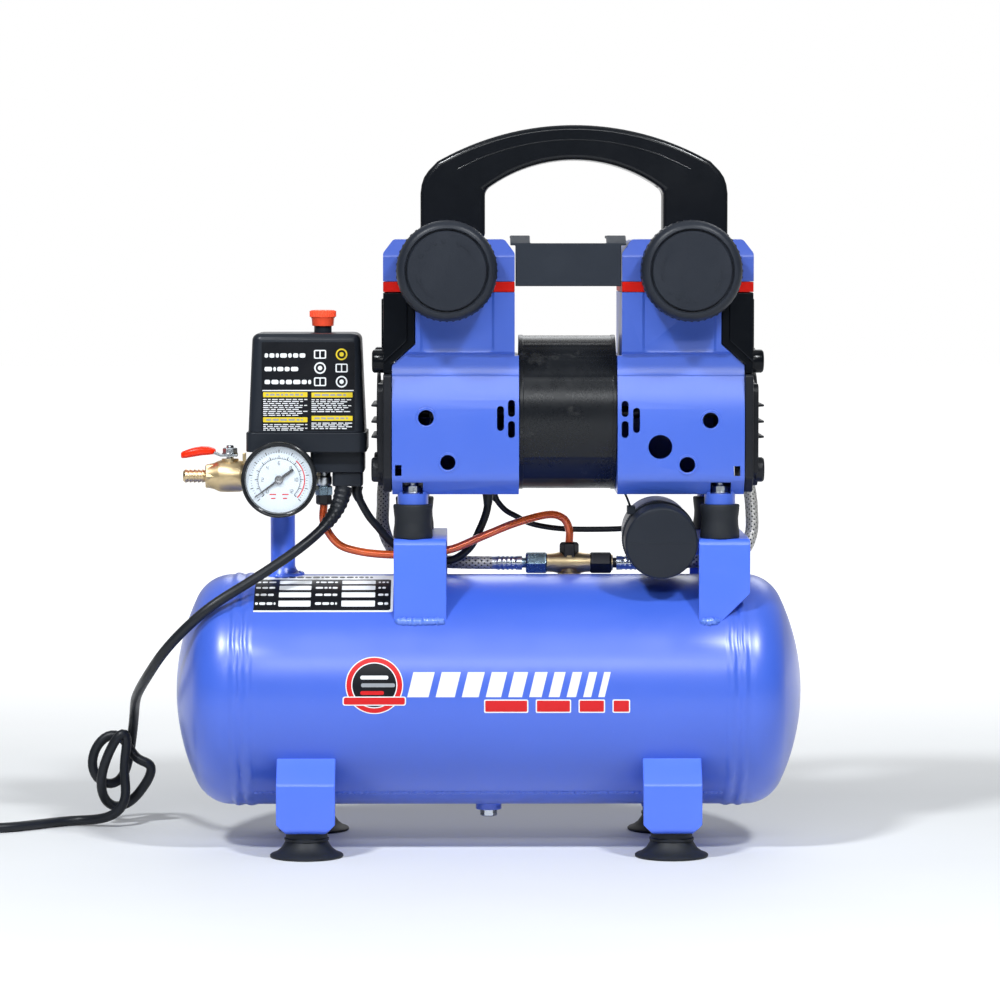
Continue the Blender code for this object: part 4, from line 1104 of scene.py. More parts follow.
cover_black = moulded("cover_black", (0.003, 0.004, 0.006), 0.22, 700, 0.012, gloss=0.15)
grille_black = moulded("grille_black", (0.008, 0.009, 0.012), 0.36, 800, 0.03)
PANEL_SCREW_Z, GRILLE_SCREW_Z = 337.2, 263
LOUVRE_Z = (285.3, 295.7, 306.8)
for side, name in SIDES:
    outer = [(104.3, 349.4), (104.3, 384.3), (126, 384.3), (126, 329), (120.4, 329), (120.4, 335.3)]
    base = prism([(PUMP_X + side * u, z) for u, z in outer], "Y", -52.6, 52.6)
    raised = [(109.6, 351.5), (109.6, 384.2), (125.9, 384.2), (125.9, 336.5)]
    panel = prism([(PUMP_X + side * u, z) for u, z in raised], "Y", -54, 54)
    plate = gather(base, panel)
    for y in (-40, 40):
        lug = [(0, 124), (8, 124), (8, 132.2), (7.2, 133.6), (5.0, 134), (4.2, 131.5), (0, 131.5)]
        lug = [(r, PUMP_X + side * u) for r, u in lug]
        plate = gather(plate, turned(lug, "X", (0, y, PANEL_SCREW_Z), 40))
    low, high = sorted(across(side, 125.5, 127.4))
    for k in range(5):
        plate = gather(plate, block((low, -40 + 18 * k, 346), (high, -32 + 18 * k, 380)))
    finish_piece(
        f"side_panel_{name}", plate, cover_black, bevel=0.9, rounds=3, stands_for=[f"side_cover_{name}"]
    )
    edge = eased(
        [(-47.5, 248), (47.5, 248), (57, 258), (57, 328.7), (-57, 328.7), (-57, 258)], (3, 3, 3, 2, 2, 3)
    )
    grille = prism(edge, "X", *sorted(across(side, 120.4, 126)))
    rim = eased([(-40, 252), (40, 252), (50, 262), (50, 322), (-50, 322), (-50, 262)], (4, 4, 4, 6, 6, 4))
    grille = combine(grille, "UNION", prism(rim, "X", *sorted(across(side, 125, 130))))
    low, high = sorted(across(side, 118, 131.5))
    for z in LOUVRE_Z:
        grille = combine(
            grille, "DIFFERENCE", prism(rounded_box(-32, 32, z - 5, z - 2, 1.4), "X", low, high)
        )
    hoop = [(r, PUMP_X + side * u) for r, u in ((30, 129), (33, 129), (33, 131), (30, 131))]
    ring = turned(hoop, "X", (0, 0, SHAFT_Z - 4), 64)
    grille = gather(grille, ring)
    for z in LOUVRE_Z:
        fin = eased([(129, z - 1.2), (134.6, z - 0.7), (134.6, z + 0.7), (129, z + 1.2)], (0, 0.6, 0.6, 0))
        grille = gather(grille, prism([(PUMP_X + side * u, zz) for u, zz in fin], "Y", -38, 38))
    for y in (-40, 40):
        lug = [(0, 128), (8.5, 128), (8.5, 133), (7.6, 134.3), (5.2, 134.5), (4.4, 131.8), (0, 131.8)]
        grille = gather(
            grille, turned([(r, PUMP_X + side * u) for r, u in lug], "X", (0, y, GRILLE_SCREW_Z), 40)
        )
    finish_piece(f"fan_cover_{name}", grille, grille_black, bevel=0.6, stands_for=[f"end_cover_{name}"])
    heads = []
    for y, z in ((-40, PANEL_SCREW_Z), (40, PANEL_SCREW_Z), (-40, GRILLE_SCREW_Z), (40, GRILLE_SCREW_Z)):
        screw = [(0, 131.3), (3.6, 131.3), (3.4, 133.0), (2.2, 133.8), (0, 134.0)]
        heads.append(turned([(r, PUMP_X + side * u) for r, u in screw], "X", (0, y, z), 28))
    finish_piece(f"cover_screws_{name}", gather(*heads), zinc)

# ---------------------------------------------------------------------------------------------
# Intake filters: turn-to-open plastic caps on the heads' bosses, with a grooved face and a few
# raised arrows. Each turns a part of a turn to come off.
# ---------------------------------------------------------------------------------------------

cap_black = moulded("filter_cap_black", (0.012, 0.015, 0.022), 0.42, 750, 0.10)
CAP_RIBS, MARK_R = 48, 20


def face_arc(centre, radius, start, end, wide, front, deep, count=14):
    """A raised arc on a cap's face."""
    spots = []
    for r, order in ((radius + wide / 2, range(count + 1)), (radius - wide / 2, range(count, -1, -1))):
        for k in order:
            angle = math.radians(start + (end - start) * k / count)
            spots.append((centre[0] + r * math.cos(angle), centre[1] + r * math.sin(angle)))
    return prism(spots, "Y", front, front + deep)


for side, name in SIDES:
    centre = (PUMP_X + side * BORE_U, 0, 399)
    skin = [
        (20, -60.3), (31.4, -60.3), (32.6, -61), (34, -64), (34, -82.0), (33.7, -84.4), (32.6, -86.8),
        (31.0, -88.5), (29.4, -89.2),
    ]
    skin += [
        (28.5, -89.3), (28.0, -88.7), (27.9, -87.2), (27.0, -87.0), (26.8, -88.9), (26.2, -89.5),
        (24.5, -89.6), (0, -89.6), (0, -82), (20, -82),
    ]
    cap = turned(skin, "Y", centre, 128)
    spot = (centre[0], centre[2])
    turn = 0 if side < 0 else 128
    marks = [face_arc(spot, MARK_R, turn + start, turn + start + 42, 1.0, -90, 0.6) for start in (20, 200)]
    for tip, way in ((turn + 62, 1), (turn + 200, -1)):
        angle = math.radians(tip)
        point = Vector((spot[0] + MARK_R * math.cos(angle), spot[1] + MARK_R * math.sin(angle)))
        ahead = Vector((-math.sin(angle), math.cos(angle))) * way
        out = Vector((math.cos(angle), math.sin(angle)))
        marks.append(
            prism(
                [tuple(point + ahead * 3.4), tuple(point + out * 1.9), tuple(point - out * 1.9)], "Y",
                -90, -89.4,
            )
        )
    for k in range(4):
        marks.append(face_arc(spot, MARK_R, turn + 92 + 18 * k, turn + 100 + 18 * k, 2.2, -89.95, 0.5, 5))
    for k in range(CAP_RIBS):
        angle = 2 * math.pi * k / CAP_RIBS
        rib = block((33.6, -82.5, -0.8), (34.35, -65, 0.8))
        bmesh.ops.rotate(rib, verts=rib.verts, matrix=Matrix.Rotation(-angle, 3, "Y"))
        bmesh.ops.translate(rib, verts=rib.verts, vec=centre)
        marks.append(rib)
    finish_piece(
        f"filter_cap_{name}", gather(cap, *marks), cap_black, body=f"filter_{name}", smooth=38,
        stands_for=[f"air_filter_{name}"],
    )

# ---------------------------------------------------------------------------------------------
# The carrying handle: one glossy moulding, an arch between two hollow legs that stand on the
# heads, and a bent steel plate with two ears that ties the heads together under it.
# ---------------------------------------------------------------------------------------------

handle_black = moulded("handle_black", (0.005, 0.006, 0.008), 0.20, 420, 0.012)
plate_black = moulded("powder_coat_black", (0.012, 0.016, 0.024), 0.46, 1100, 0.06)


def arch(half_wide, edge_z, top_z, count):
    """Points on a shallow arch from its left end to its right end."""
    rise = top_z - edge_z
    radius = (half_wide**2 + rise**2) / (2 * rise)
    spread = math.asin(half_wide / radius)
    angles = [spread * (2 * k / count - 1) for k in range(count + 1)]
    return [(58.8 + radius * math.sin(a), top_z - radius + radius * math.cos(a)) for a in angles]


outline = [(-47, 420.8), (-47, 452), (-46.2, 458), (-44.5, 463), (-41.5, 467.5), *arch(94, 474, 499, 40)]
outline += [(159.1, 467.5), (162.1, 463), (163.8, 458), (164.6, 452), (164.6, 420.8), (120.1, 420.8)]
outline += [*reversed(arch(61.3, 454, 475, 36)), (-2.5, 420.8)]
finish_piece(
    "carry_handle", prism(outline, "Y", -17, 17), handle_black, bevel=5.2, rounds=5, over=40, smooth=40,
    stands_for=["handle"],
)
rib_line = arch(80, 468.5, 488.8, 40)
for y, name in ((-16.6, "front"), (16.6, "rear")):
    rib = smooth_line([(x, y, z) for x, z in rib_line], 4)
    finish_piece(f"handle_rib_{name}", tube_between(rib, 1.5, 8), handle_black, smooth=70)


def cad_copy(node):
    """A merged copy of a CAD node's skin, with flat faces joined up again."""
    made = bmesh.new()
    made.from_mesh(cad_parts[node].data)
    bmesh.ops.scale(made, verts=made.verts, vec=(1 / MM, 1 / MM, 1 / MM))
    bmesh.ops.remove_doubles(made, verts=made.verts, dist=0.002)
    bmesh.ops.dissolve_limit(made, angle_limit=math.radians(1.0), verts=made.verts, edges=made.edges)
    return made


finish_piece("tie_plate", cad_copy("cross_plate"), plate_black, bevel=0.6, stands_for=["cross_plate"])

# ---------------------------------------------------------------------------------------------
# The riser: a painted steel pipe welded into the tank, with a brass manifold on it that carries
# the switch above, the gauge in front, the tap at the side and a safety valve behind.
# ---------------------------------------------------------------------------------------------

RISER_X, PORT_Z = -143.0, 256.5
brass = metal("yellow_brass", (0.80, 0.62, 0.36), 0.38, None, 0.30)
blue_zinc = metal("blue_zinc", (0.30, 0.42, 0.52), 0.24)
skin = [(0, 176), (12.6, 176), (12.4, 184), (11.6, 189), (9.4, 192), (8.6, 194), (8.6, 245), (0, 245)]
finish_piece(
    "riser", turned(skin, "Z", (RISER_X, 0, 0), 64), bracket_blue, bevel=0.5, smooth=45,
    stands_for=["riser_pipe"],
)
ring_line = []
for k in range(25):
    angle = 2 * math.pi * k / 24
    y = 13.2 * math.sin(angle)
    ring_line.append((RISER_X + 13.2 * math.cos(angle), y, TANK_Z + math.sqrt(TANK_R**2 - y * y) + 0.5))
finish_piece("riser_weld", weld_bead(ring_line, 3.4, 77), bracket_blue, smooth=60)
port = cad_copy("port_manifold")
finish_piece("manifold", port, brass, bevel=0.7, stands_for=["port_manifold"])
valve = turned(
    [(0, 24), (4.8, 24), (4.8, 33), (3.2, 34), (3.2, 37.5), (1.4, 38), (0, 38)], "Y",
    (RISER_X, 0, PORT_Z), 32,
)
pull = [
    (RISER_X + 7 * math.cos(t), 37.2, PORT_Z - 7.2 + 7 * math.sin(t))
    for t in [2 * math.pi * k / 32 for k in range(33)]
]
finish_piece("safety_valve", gather(valve, tube_between(pull, 1.3, 8)), zinc, smooth=50)

# ---------------------------------------------------------------------------------------------
# The pressure gauge: a pressed black case, a printed dial under a clear lens, and a black
# needle that sweeps with the tank's pressure.
# ---------------------------------------------------------------------------------------------

GAUGE = (RISER_X - 0.3, 0, PORT_Z)
DIAL_FRONT, PRINT_FRONT = -47.5, -47.62
gauge_black = moulded("gauge_black", (0.010, 0.011, 0.013), 0.16, 300, 0.006)
case = [
    (0, -31), (22, -31), (24.6, -32), (25.6, -34), (25.6, -46), (26, -46.8), (26, -50.4), (25.7, -51.5),
    (24.9, -52), (23.9, -51.8),
]
case += [(23.2, -51.2), (22.8, -47.2), (0, -47.2)]
finish_piece(
    "gauge_case_skin", turned(case, "Y", GAUGE, 128), gauge_black, smooth=40, stands_for=["gauge_case"]
)


def copies(shape, count, turn=(0, 0, 0), pivot=(0, 0, 0), shift=(0, 0, 0), look=None):
    """Copies of a shape made by Geometry Nodes, each turned and moved on from the one before."""
    tree = bpy.data.node_groups.new("copies", "GeometryNodeTree")
    face = tree.interface
    face.new_socket("Geometry", in_out="INPUT", socket_type="NodeSocketGeometry")
    sockets = {}
    for label, kind in (
        ("Count", "NodeSocketInt"), ("Turn", "NodeSocketVector"), ("Pivot", "NodeSocketVector"),
        ("Shift", "NodeSocketVector"), ("Finish", "NodeSocketMaterial"),
    ):
        sockets[label] = face.new_socket(label, in_out="INPUT", socket_type=kind).identifier
    face.new_socket("Geometry", in_out="OUTPUT", socket_type="NodeSocketGeometry")
    node = {}
    kinds = {
        "into": "NodeGroupInput", "one": "GeometryNodeGeometryToInstance",
        "many": "GeometryNodeDuplicateElements",
    }
    kinds |= {
        "spin": "GeometryNodeRotateInstances", "slide": "GeometryNodeTranslateInstances",
        "real": "GeometryNodeRealizeInstances",
    }
    kinds |= {
        "coat": "GeometryNodeSetMaterial", "out": "NodeGroupOutput", "angle": "ShaderNodeVectorMath",
        "reach": "ShaderNodeVectorMath",
    }
    for key, kind in kinds.items():
        node[key] = tree.nodes.new(kind)
    node["many"].domain = "INSTANCE"
    node["angle"].operation = node["reach"].operation = "SCALE"
    wires = [("into", "Geometry", "one", 0), ("one", 0, "many", 0), ("into", "Count", "many", "Amount")]
    wires += [
        ("into", "Turn", "angle", 0), ("many", 1, "angle", "Scale"), ("into", "Shift", "reach", 0),
        ("many", 1, "reach", "Scale"),
    ]
    wires += [
        ("many", 0, "spin", 0), ("angle", 0, "spin", "Rotation"), ("into", "Pivot", "spin", "Pivot Point")
    ]
    wires += [("spin", 0, "slide", 0), ("reach", 0, "slide", "Translation"), ("slide", 0, "real", 0)]
    wires += [("real", 0, "coat", 0), ("into", "Finish", "coat", "Material"), ("coat", 0, "out", 0)]
    for start, output, end, socket in wires:
        tree.links.new(node[start].outputs[output], node[end].inputs[socket])
    node["spin"].inputs["Local Space"].default_value = False
    node["slide"].inputs["Local Space"].default_value = False
    mesh = bpy.data.meshes.new("seed")
    shape.to_mesh(mesh)
    shape.free()
    seed = bpy.data.objects.new("seed", mesh)
    bpy.context.collection.objects.link(seed)
    modifier = seed.modifiers.new("copies", "NODES")
    modifier.node_group = tree
    for label, value in (
        ("Count", count), ("Turn", turn), ("Pivot", pivot), ("Shift", shift), ("Finish", look)
    ):
        modifier[sockets[label]] = value
    result = bpy.data.meshes.new_from_object(seed.evaluated_get(bpy.context.evaluated_depsgraph_get()))
    made = bmesh.new()
    made.from_mesh(result)
    for face in made.faces:
        face.material_index = 0
    bpy.data.objects.remove(seed, do_unlink=True)
    bpy.data.meshes.remove(result)
    return made


def dial_mark(angle, low, high, wide, deep=0.12):
    """A straight printed mark on the dial, at an angle clockwise from the top."""
    front, x, z = DIAL_FRONT, GAUGE[0], GAUGE[2]
    mark = block((x - wide / 2, front - deep, z + low), (x + wide / 2, front, z + high))
    bmesh.ops.rotate(
        mark, verts=mark.verts, cent=GAUGE, matrix=Matrix.Rotation(math.radians(angle), 3, "Y")
    )
    return mark


dial_white = print_ink("dial_white", (0.72, 0.80, 0.88), 0.30)
finish_piece("gauge_dial", rod(22.6, "Y", GAUGE, DIAL_FRONT, -47.1, 96), dial_white, smooth=30)
step = math.radians(1)
black_marks = []
for low, high, wide, count, apart in (
    (14.4, 16.6, 0.55, 13, 22.5),
    (14.4, 15.5, 0.28, 61, 4.5),
    (18.4, 20.6, 0.55, 11, 27),
    (18.4, 19.5, 0.28, 51, 5.4),
):
    black_marks.append(copies(dial_mark(-135, low, high, wide), count, (0, apart * step, 0), GAUGE))
spot = (GAUGE[0], GAUGE[2])
black_marks += [face_arc(spot, 14.4, -45, 225, 0.3, PRINT_FRONT, 0.12, 90)]
DIGITS = {
    "0": "abcdef", "1": "bc", "2": "abged", "3": "abgcd", "4": "fgbc", "5": "afgcd", "6": "afgedc",
    "8": "abcdefg", "9": "abcdfg",
}
STROKES = {
    "a": (0, 2, 1, 2), "b": (1, 1, 1, 2), "c": (1, 0, 1, 1), "d": (0, 0, 1, 0), "e": (0, 0, 0, 1),
    "f": (0, 1, 0, 2), "g": (0, 1, 1, 1),
}
for value in range(0, 13, 2):
    angle = math.radians(-135 + 22.5 * value)
    text = str(value)
    for place_in, digit in enumerate(text):
        x = GAUGE[0] + 11.3 * math.sin(angle) + (place_in - (len(text) - 1) / 2) * 2.0 - 0.6
        z = GAUGE[2] + 11.3 * math.cos(angle) - 1.1
        for stroke in DIGITS[digit]:
            a, b, c, d = (1.15 * v for v in STROKES[stroke])
            low, high = (x + a - 0.14, PRINT_FRONT, z + b - 0.14), (x + c + 0.14, DIAL_FRONT, z + d + 0.14)
            black_marks.append(block(low, high))
finish_piece("dial_marks", gather(*black_marks), ink_black)
red_arc = [face_arc(spot, 17.4, -45, 48, 0.9, PRINT_FRONT, 0.12, 50)]
for low_x, high_x, z in ((-6.5, -2.0, -10.5), (2.0, 6.5, -10.5), (-5.5, -2.5, -13.2), (2.5, 5.5, -13.2)):
    low, high = (GAUGE[0] + low_x, -47.6, GAUGE[2] + z), (GAUGE[0] + high_x, DIAL_FRONT, GAUGE[2] + z + 0.9)
    red_arc.append(block(low, high))
finish_piece("dial_red_arc", gather(*red_arc), ink_red)
pointer = [
    (-0.95, -12), (0.95, -12), (1.05, -4), (0.9, 0), (0.3, 20.5), (-0.3, 20.5), (-0.9, 0), (-1.05, -4)
]
arm = prism([(-z, x) for x, z in pointer], "Y", -49.1, -48.4)
bmesh.ops.rotate(arm, verts=arm.verts, matrix=Matrix.Rotation(math.radians(-35.8), 3, "Y"))
bmesh.ops.translate(arm, verts=arm.verts, vec=GAUGE)
finish_piece("needle_arm", arm, ink_black, body="needle", bevel=0.12, stands_for=["gauge_needle"])
hub = [
    (0, -47.6), (1.6, -47.6), (3.0, -48.4), (3.0, -49.2), (2.2, -50.0), (1.1, -50.1), (0.9, -49.7),
    (0, -49.7),
]
finish_piece(
    "needle_hub", turned(hub, "Y", GAUGE, 40), metal("hub_steel", (0.45, 0.46, 0.48), 0.25),
    body="needle", smooth=35,
)
lens_look, place, shader = new_look("lens_clear", (0.95, 0.97, 1.0), roughness=0.04, alpha=0.05)
feed(shader, roughness=noise(place, 200, 2) * 0.03 + 0.02)
lens = [(0, -51.1), (12, -50.9), (23.0, -50.5), (23.0, -51.0), (12, -51.4), (0, -51.6)]
finish_piece("gauge_lens", turned(lens, "Y", GAUGE, 96), lens_look, smooth=60)

# ---------------------------------------------------------------------------------------------
# The outlet tap: a turned brass ball valve with a ribbed hose tail, opened by a quarter turn
# of a steel strip lever dipped in red plastic and held by a nut.
# ---------------------------------------------------------------------------------------------

VALVE_X = -179.5
AXIS = (0, 0, PORT_Z)
tail = [(0, -212), (3.4, -212), (3.9, -211.4)]
for k in range(5):
    x = -210.4 + 2.9 * k
    tail += [(4.7, x), (4.6, x + 0.5), (3.9, x + 2.5), (3.9, x + 2.7)]
tail += [
    (3.9, -195.8), (8.0, -195.6), (9.2, -190.5), (10.6, -187.6), (11, -186), (11.2, -181), (11, -172.5),
    (10.2, -170), (9, -168), (9.2, -165), (9, -162.3), (0, -162.3),
]
finish_piece("tap_body", turned(tail, "X", AXIS, 64), brass, smooth=35, stands_for=["ball_valve_body"])
neck = turned(
    [(0, 262), (7.0, 262), (6.4, 264), (6, 266), (6, 268.6), (0, 268.6)], "Z", (VALVE_X, 0, 0), 40
)
hexagon = turned(
    [(0, -196.4), (8.6, -196.4), (9.3, -195.7), (9.3, -189.2), (8.6, -188.5), (0, -188.5)], "X", AXIS, 6
)
stop = block((-170.6, -5, 263), (-168.4, 5, 272.5))
finish_piece("tap_neck", gather(neck, hexagon, stop), brass, bevel=0.35)
strip = [
    (-174, 270), (-186, 270), (-192, 272.5), (-200, 272.5), (-200, 274.3), (-191.5, 274.3),
    (-185.5, 271.7), (-174, 271.7),
]
lever_steel = prism(strip, "Y", -5, 5)
finish_piece("lever_strip", lever_steel, zinc, body="lever", bevel=0.35, stands_for=["valve_lever"])
dipped = []
for along, low, high, half in (
    (-189.5, 271.8, 275.0, 3.5), (-190.5, 271.6, 275.8, 5.2), (-194, 271.2, 277.0, 6.2),
    (-199, 270.8, 277.3, 6.3), (-205, 269.8, 276.2, 6.2), (-210, 269.0, 274.6, 6.0),
    (-212.6, 268.8, 273.6, 5.2), (-213.4, 269.4, 272.8, 3.6),
):
    middle, tall = (low + high) / 2, (high - low) / 2
    dipped.append([(along, a, middle + b) for a, b in rounded_ring(half, tall, 3.2, 28)])
grip_red = moulded("dipped_red", (0.78, 0.024, 0.004), 0.26, 260, 0.02)
finish_piece("lever_grip", ring_stack(dipped), grip_red, body="lever", smooth=50)
nut = gather(
    bolt_head((VALVE_X, 0, 0), "Z", 9, 271.6, 276.2, 5.6),
    turned([(0, 268), (2.6, 268), (2.6, 277.4), (2, 278), (0, 278)], "Z", (VALVE_X, 0, 0), 24),
)
finish_piece("lever_nut", nut, zinc, body="lever", bevel=0.3)

# ---------------------------------------------------------------------------------------------
# The pressure switch: a black moulded base and hood over the contacts, a red knob that is pulled
# up and pushed down, a printed film on the front, and the cable bush and unloader below.
# ---------------------------------------------------------------------------------------------

hood_black = moulded("hood_black", (0.012, 0.015, 0.021), 0.34, 1000, 0.05)


def tapered_rings(low, high, lean, radius, crown):
    """Rings of a hood that is smaller at its top and has round corners and a round crown."""
    rings = []
    heights = [(low[2], 0.0, 0.0), (low[2] + 0.6, 0.0, 0.0), (high[2] - crown, 1.0, 0.0)]
    heights += [
        (high[2] - crown + crown * math.sin(a), 1.0, crown * (1 - math.cos(a)))
        for a in [math.radians(15 * k) for k in range(1, 7)]
    ]
    for z, share, inset in heights:
        side = lean * (z - low[2]) / (high[2] - low[2]) + inset
        spots = rounded_box(
            low[0] + side, high[0] - side, low[1] + side, high[1] - side, max(1.2, radius - inset * 0.7), 6
        )
        rings.append([(x, y, z) for x, y in spots])
    return rings


finish_piece(
    "switch_hood", ring_stack(tapered_rings((-165.5, -28.5, 288.3), (-85.5, 38.5, 356), 3, 6, 5)),
    hood_black, smooth=32, stands_for=["switch_cover"],
)
base = prism(rounded_box(-167, -84, -29.5, 39.5, 6, 6), "Z", 274.3, 288)
lower = prism(rounded_box(-123, -86, -22, 24, 3, 5), "Z", 260, 276)
finish_piece("switch_base_skin", gather(base, lower), hood_black, bevel=0.8, stands_for=["switch_base"])
finish_piece(
    "cable_gland", prism(rounded_box(-108, -87, -20, 2, 2.5, 5), "Z", 250.3, 260.2), hood_black,
    bevel=1.0, stands_for=["cord_gland"],
)
under = (-114.3, -5, 0)
collar = turned(
    [(0, 250), (4.6, 250), (5.6, 251.5), (5.6, 256), (4.8, 257), (4.8, 262), (0, 262)], "Z", under, 40
)
finish_piece("unloader_collar", collar, zinc, smooth=35)
finish_piece("unloader_nut", bolt_head(under, "Z", 10.5, 243.6, 250), blue_zinc, bevel=0.4)
finish_piece(
    "unloader_lock_nut",
    turned([(0, 236.8), (4.4, 236.8), (5.6, 237.8), (5.6, 243.4), (0, 243.4)], "Z", under, 6),
    socket_black, bevel=0.3,
)
knob_red = moulded("knob_red", (0.95, 0.095, 0.040), 0.32, 500, 0.02)
skin = [
    (0, 360.3), (7.3, 360.6), (7.5, 361), (7.9, 365.6), (8.5, 366.4), (8.7, 367.2), (8.7, 370.6),
    (8.2, 371.4), (6.5, 371.6), (5.8, 371.0), (0, 371.0),
]
knob = turned(skin, "Z", (-115, 5, 0), 72)
flute = rod(0.85, "Z", (-106.6, 5, 0), 366.9, 371.0, 8)
knob = gather(knob, copies(flute, 30, (0, 0, 12 * step), (-115, 5, 0)))
finish_piece("switch_knob_cap", knob, knob_red, body="knob", smooth=40, stands_for=["switch_knob"])
stem = turned([(0, 335), (6.1, 335), (6.1, 360.7), (0, 360.7)], "Z", (-115, 5, 0), 40)
finish_piece("switch_knob_stem", stem, hood_black, body="knob", bevel=0.3)

label = [(rounded_box(-156, -92.2, 289.2, 350, 1.2), *BASE, 1)]
for row, z in enumerate((340.8, 331.5, 322.6)):
    label += dashes(-154, (-126, -129, -122)[row], z, 3.0, 0, 51 + row)
for column, x in enumerate((-115.9, -101.1)):
    for row, z in enumerate((341.6, 332.2, 322.8)):
        index = 3 if (column, row) == (1, 0) else 0
        if (column + row) % 2:
            label += [
                (round_spot(x, z, 4.0, 32), *INK, index), (round_spot(x, z, 3.0, 32), *TOP, 1),
                (round_spot(x, z, 1.5, 24), 0.18, 0.2, index),
            ]
        else:
            label += [
                (rounded_box(x - 4.2, x + 4.2, z - 3, z + 3, 1.0), *INK, index),
                (rounded_box(x - 3.3, x - 0.4, z - 2.2, z + 2.2, 0.4), *TOP, 1),
            ]
            label += [(rounded_box(x + 0.4, x + 3.3, z - 2.2, z + 2.2, 0.4), *TOP, 1)]
label.append((rounded_box(-155.5, -92.8, 316.4, 317.1, 0.2, 2), *INK, 0))
for low_x, high_x, top_z, low_z, lines in (
    (-155, -124.6, 315.6, 298.4, 9), (-121.8, -93.6, 315.4, 299.4, 7)
):
    for z in (top_z, low_z):
        label.append((rounded_box(low_x, high_x, z - 3.4, z, 0.3, 2), *INK, 3))
        label += dashes(low_x + 2, high_x - 3, z - 1.7, 1.3, 4, int(z * 7), TOP)
    for k in range(lines):
        label += dashes(low_x, high_x - 3 * (k % 3), top_z - 5.0 - 1.35 * k, 0.6, 0, 90 + k)
    for k in range(4):
        label += dashes(low_x, high_x - 3 * (k % 2), low_z - 5.0 - 1.25 * k, 0.6, 0, 120 + k)
film = printed(label)
for vert in film.verts:
    x, z, lift = vert.co
    vert.co = (x, -28.5 + 3 * (z - 288.3) / 67.7 - lift, z)
bmesh.ops.recalc_face_normals(film, faces=film.faces)
finish_piece("switch_film", film, INKS)

# ---------------------------------------------------------------------------------------------
# Pipework: a brass tee screwed into the tank, braided hoses from both heads with crimped steel
# ends, and a soft copper tube that lets the pump's air out through the switch.
# ---------------------------------------------------------------------------------------------

TEE = (56.5, 20.0, 194.5)
tee = turned(
    [(0, 26), (5.6, 26), (6.6, 45), (7.4, 49), (7.4, 64), (6.6, 68), (5.6, 87), (0, 87)], "X",
    (0, TEE[1], TEE[2]), 48,
)
tee = gather(
    tee, turned([(0, 178), (6, 178), (6.4, 190), (6.2, 200), (0, 200)], "Z", TEE[:1] + (TEE[1], 0), 48)
)
tee = gather(tee, turned([(0, 182), (8.2, 182), (8.2, 187.6), (0, 187.6)], "Z", (TEE[0], TEE[1], 0), 6))
finish_piece("tee_body", tee, brass, bevel=0.3, stands_for=["tank_tee"])
along_x = (0, TEE[1], TEE[2])
left_nut = turned([(0, 26), (7.2, 26), (8.2, 27), (8.2, 40), (7.2, 41), (0, 41)], "X", along_x, 6)
finish_piece("tee_nut_left", gather(left_nut, rod(3.6, "X", along_x, 21, 27)), blue_zinc, bevel=0.5)
right_nut = turned([(0, 71), (7.2, 71), (8.2, 72), (8.2, 85), (7.2, 86), (0, 86)], "X", along_x, 6)
finish_piece("tee_nut_right", gather(right_nut, rod(3.6, "X", along_x, 85, 91)), socket_black, bevel=0.5)
finish_piece(
    "tee_nut_top",
    turned([(0, 198), (6.9, 198), (6.9, 207.5), (5.6, 209), (0, 209)], "Z", (TEE[0], TEE[1], 0), 6),
    socket_black, bevel=0.5,
)

copper, place, shader = new_look(
    "lacquered_copper", (0.90, 0.16, 0.03), metallic=0.3, roughness=0.22, coat_weight=0.8
)
heat = steps(noise(place, 26, 3), (0.35, 0.0), (0.7, 1.0))
feed(
    shader, base_color=heat.tint((0.95, 0.16, 0.03), (0.68, 0.085, 0.018)),
    roughness=noise(place, 160, 3) * 0.10 + 0.16,
)
copper_route = [
    (-114.3, -5, 237.5), (-114.3, -5, 224), (-105, -5, 210), (-91, -4, 204.5), (-70, -4, 202),
    (-45, -4, 202.5),
]
copper_route += [
    (-25, -3, 206), (-7.4, 0, 213), (18, 6, 223), (41, 14, 228.6), (52, 19, 226), (56.5, 20, 218),
    (56.5, 20, 208.5),
]
copper_tube = tube_between(smooth_line(copper_route, 2.5), 5.6, 20)
finish_piece("copper_pipe", copper_tube, copper, smooth=60, stands_for=["unloader_tube"])

braid_wire = metal("braid_wire", (0.60, 0.59, 0.57), 0.50)
braid_wire.node_tree.nodes["Principled BSDF"].inputs["Metallic"].default_value = 0.45
hose_rubber = sheath("hose_rubber", (0.016, 0.017, 0.019), 0.5)


def braid(line, radius, starts=8, pitch=34.0):
    """Flat wire ribbons wound both ways round a line, passing over and under each other."""
    made = bmesh.new()
    side = (line[1] - line[0]).normalized().orthogonal().normalized()
    frames, far = [], 0.0
    for k, spot in enumerate(line):
        way = (line[min(k + 1, len(line) - 1)] - line[max(k - 1, 0)]).normalized()
        side = (side - way * side.dot(way)).normalized()
        far += (spot - line[k - 1]).length if k else 0.0
        frames.append((spot, side, way.cross(side), far))
    for hand in (-1, 1):
        for start in range(starts):
            rows = []
            for spot, a, b, far in frames:
                angle = 2 * math.pi * (start / starts + hand * far / pitch)
                out = a * math.cos(angle) + b * math.sin(angle)
                edge = (b * math.cos(angle) - a * math.sin(angle)) * 0.95
                reach = radius + 0.16 + 0.20 * hand * math.cos(
                    4 * math.pi * starts * far / pitch + math.pi * start
                )
                top, low = spot + out * (reach + 0.14), spot + out * (reach - 0.14)
                rows.append([made.verts.new(p) for p in (top - edge, top + edge, low + edge, low - edge)])
            for low, high in zip(rows, rows[1:]):
                for j in range(4):
                    made.faces.new((low[j], low[(j + 1) % 4], high[(j + 1) % 4], high[j]))
            made.faces.new(rows[0])
            made.faces.new(rows[-1])
    bmesh.ops.recalc_face_normals(made, faces=made.faces)
    return made


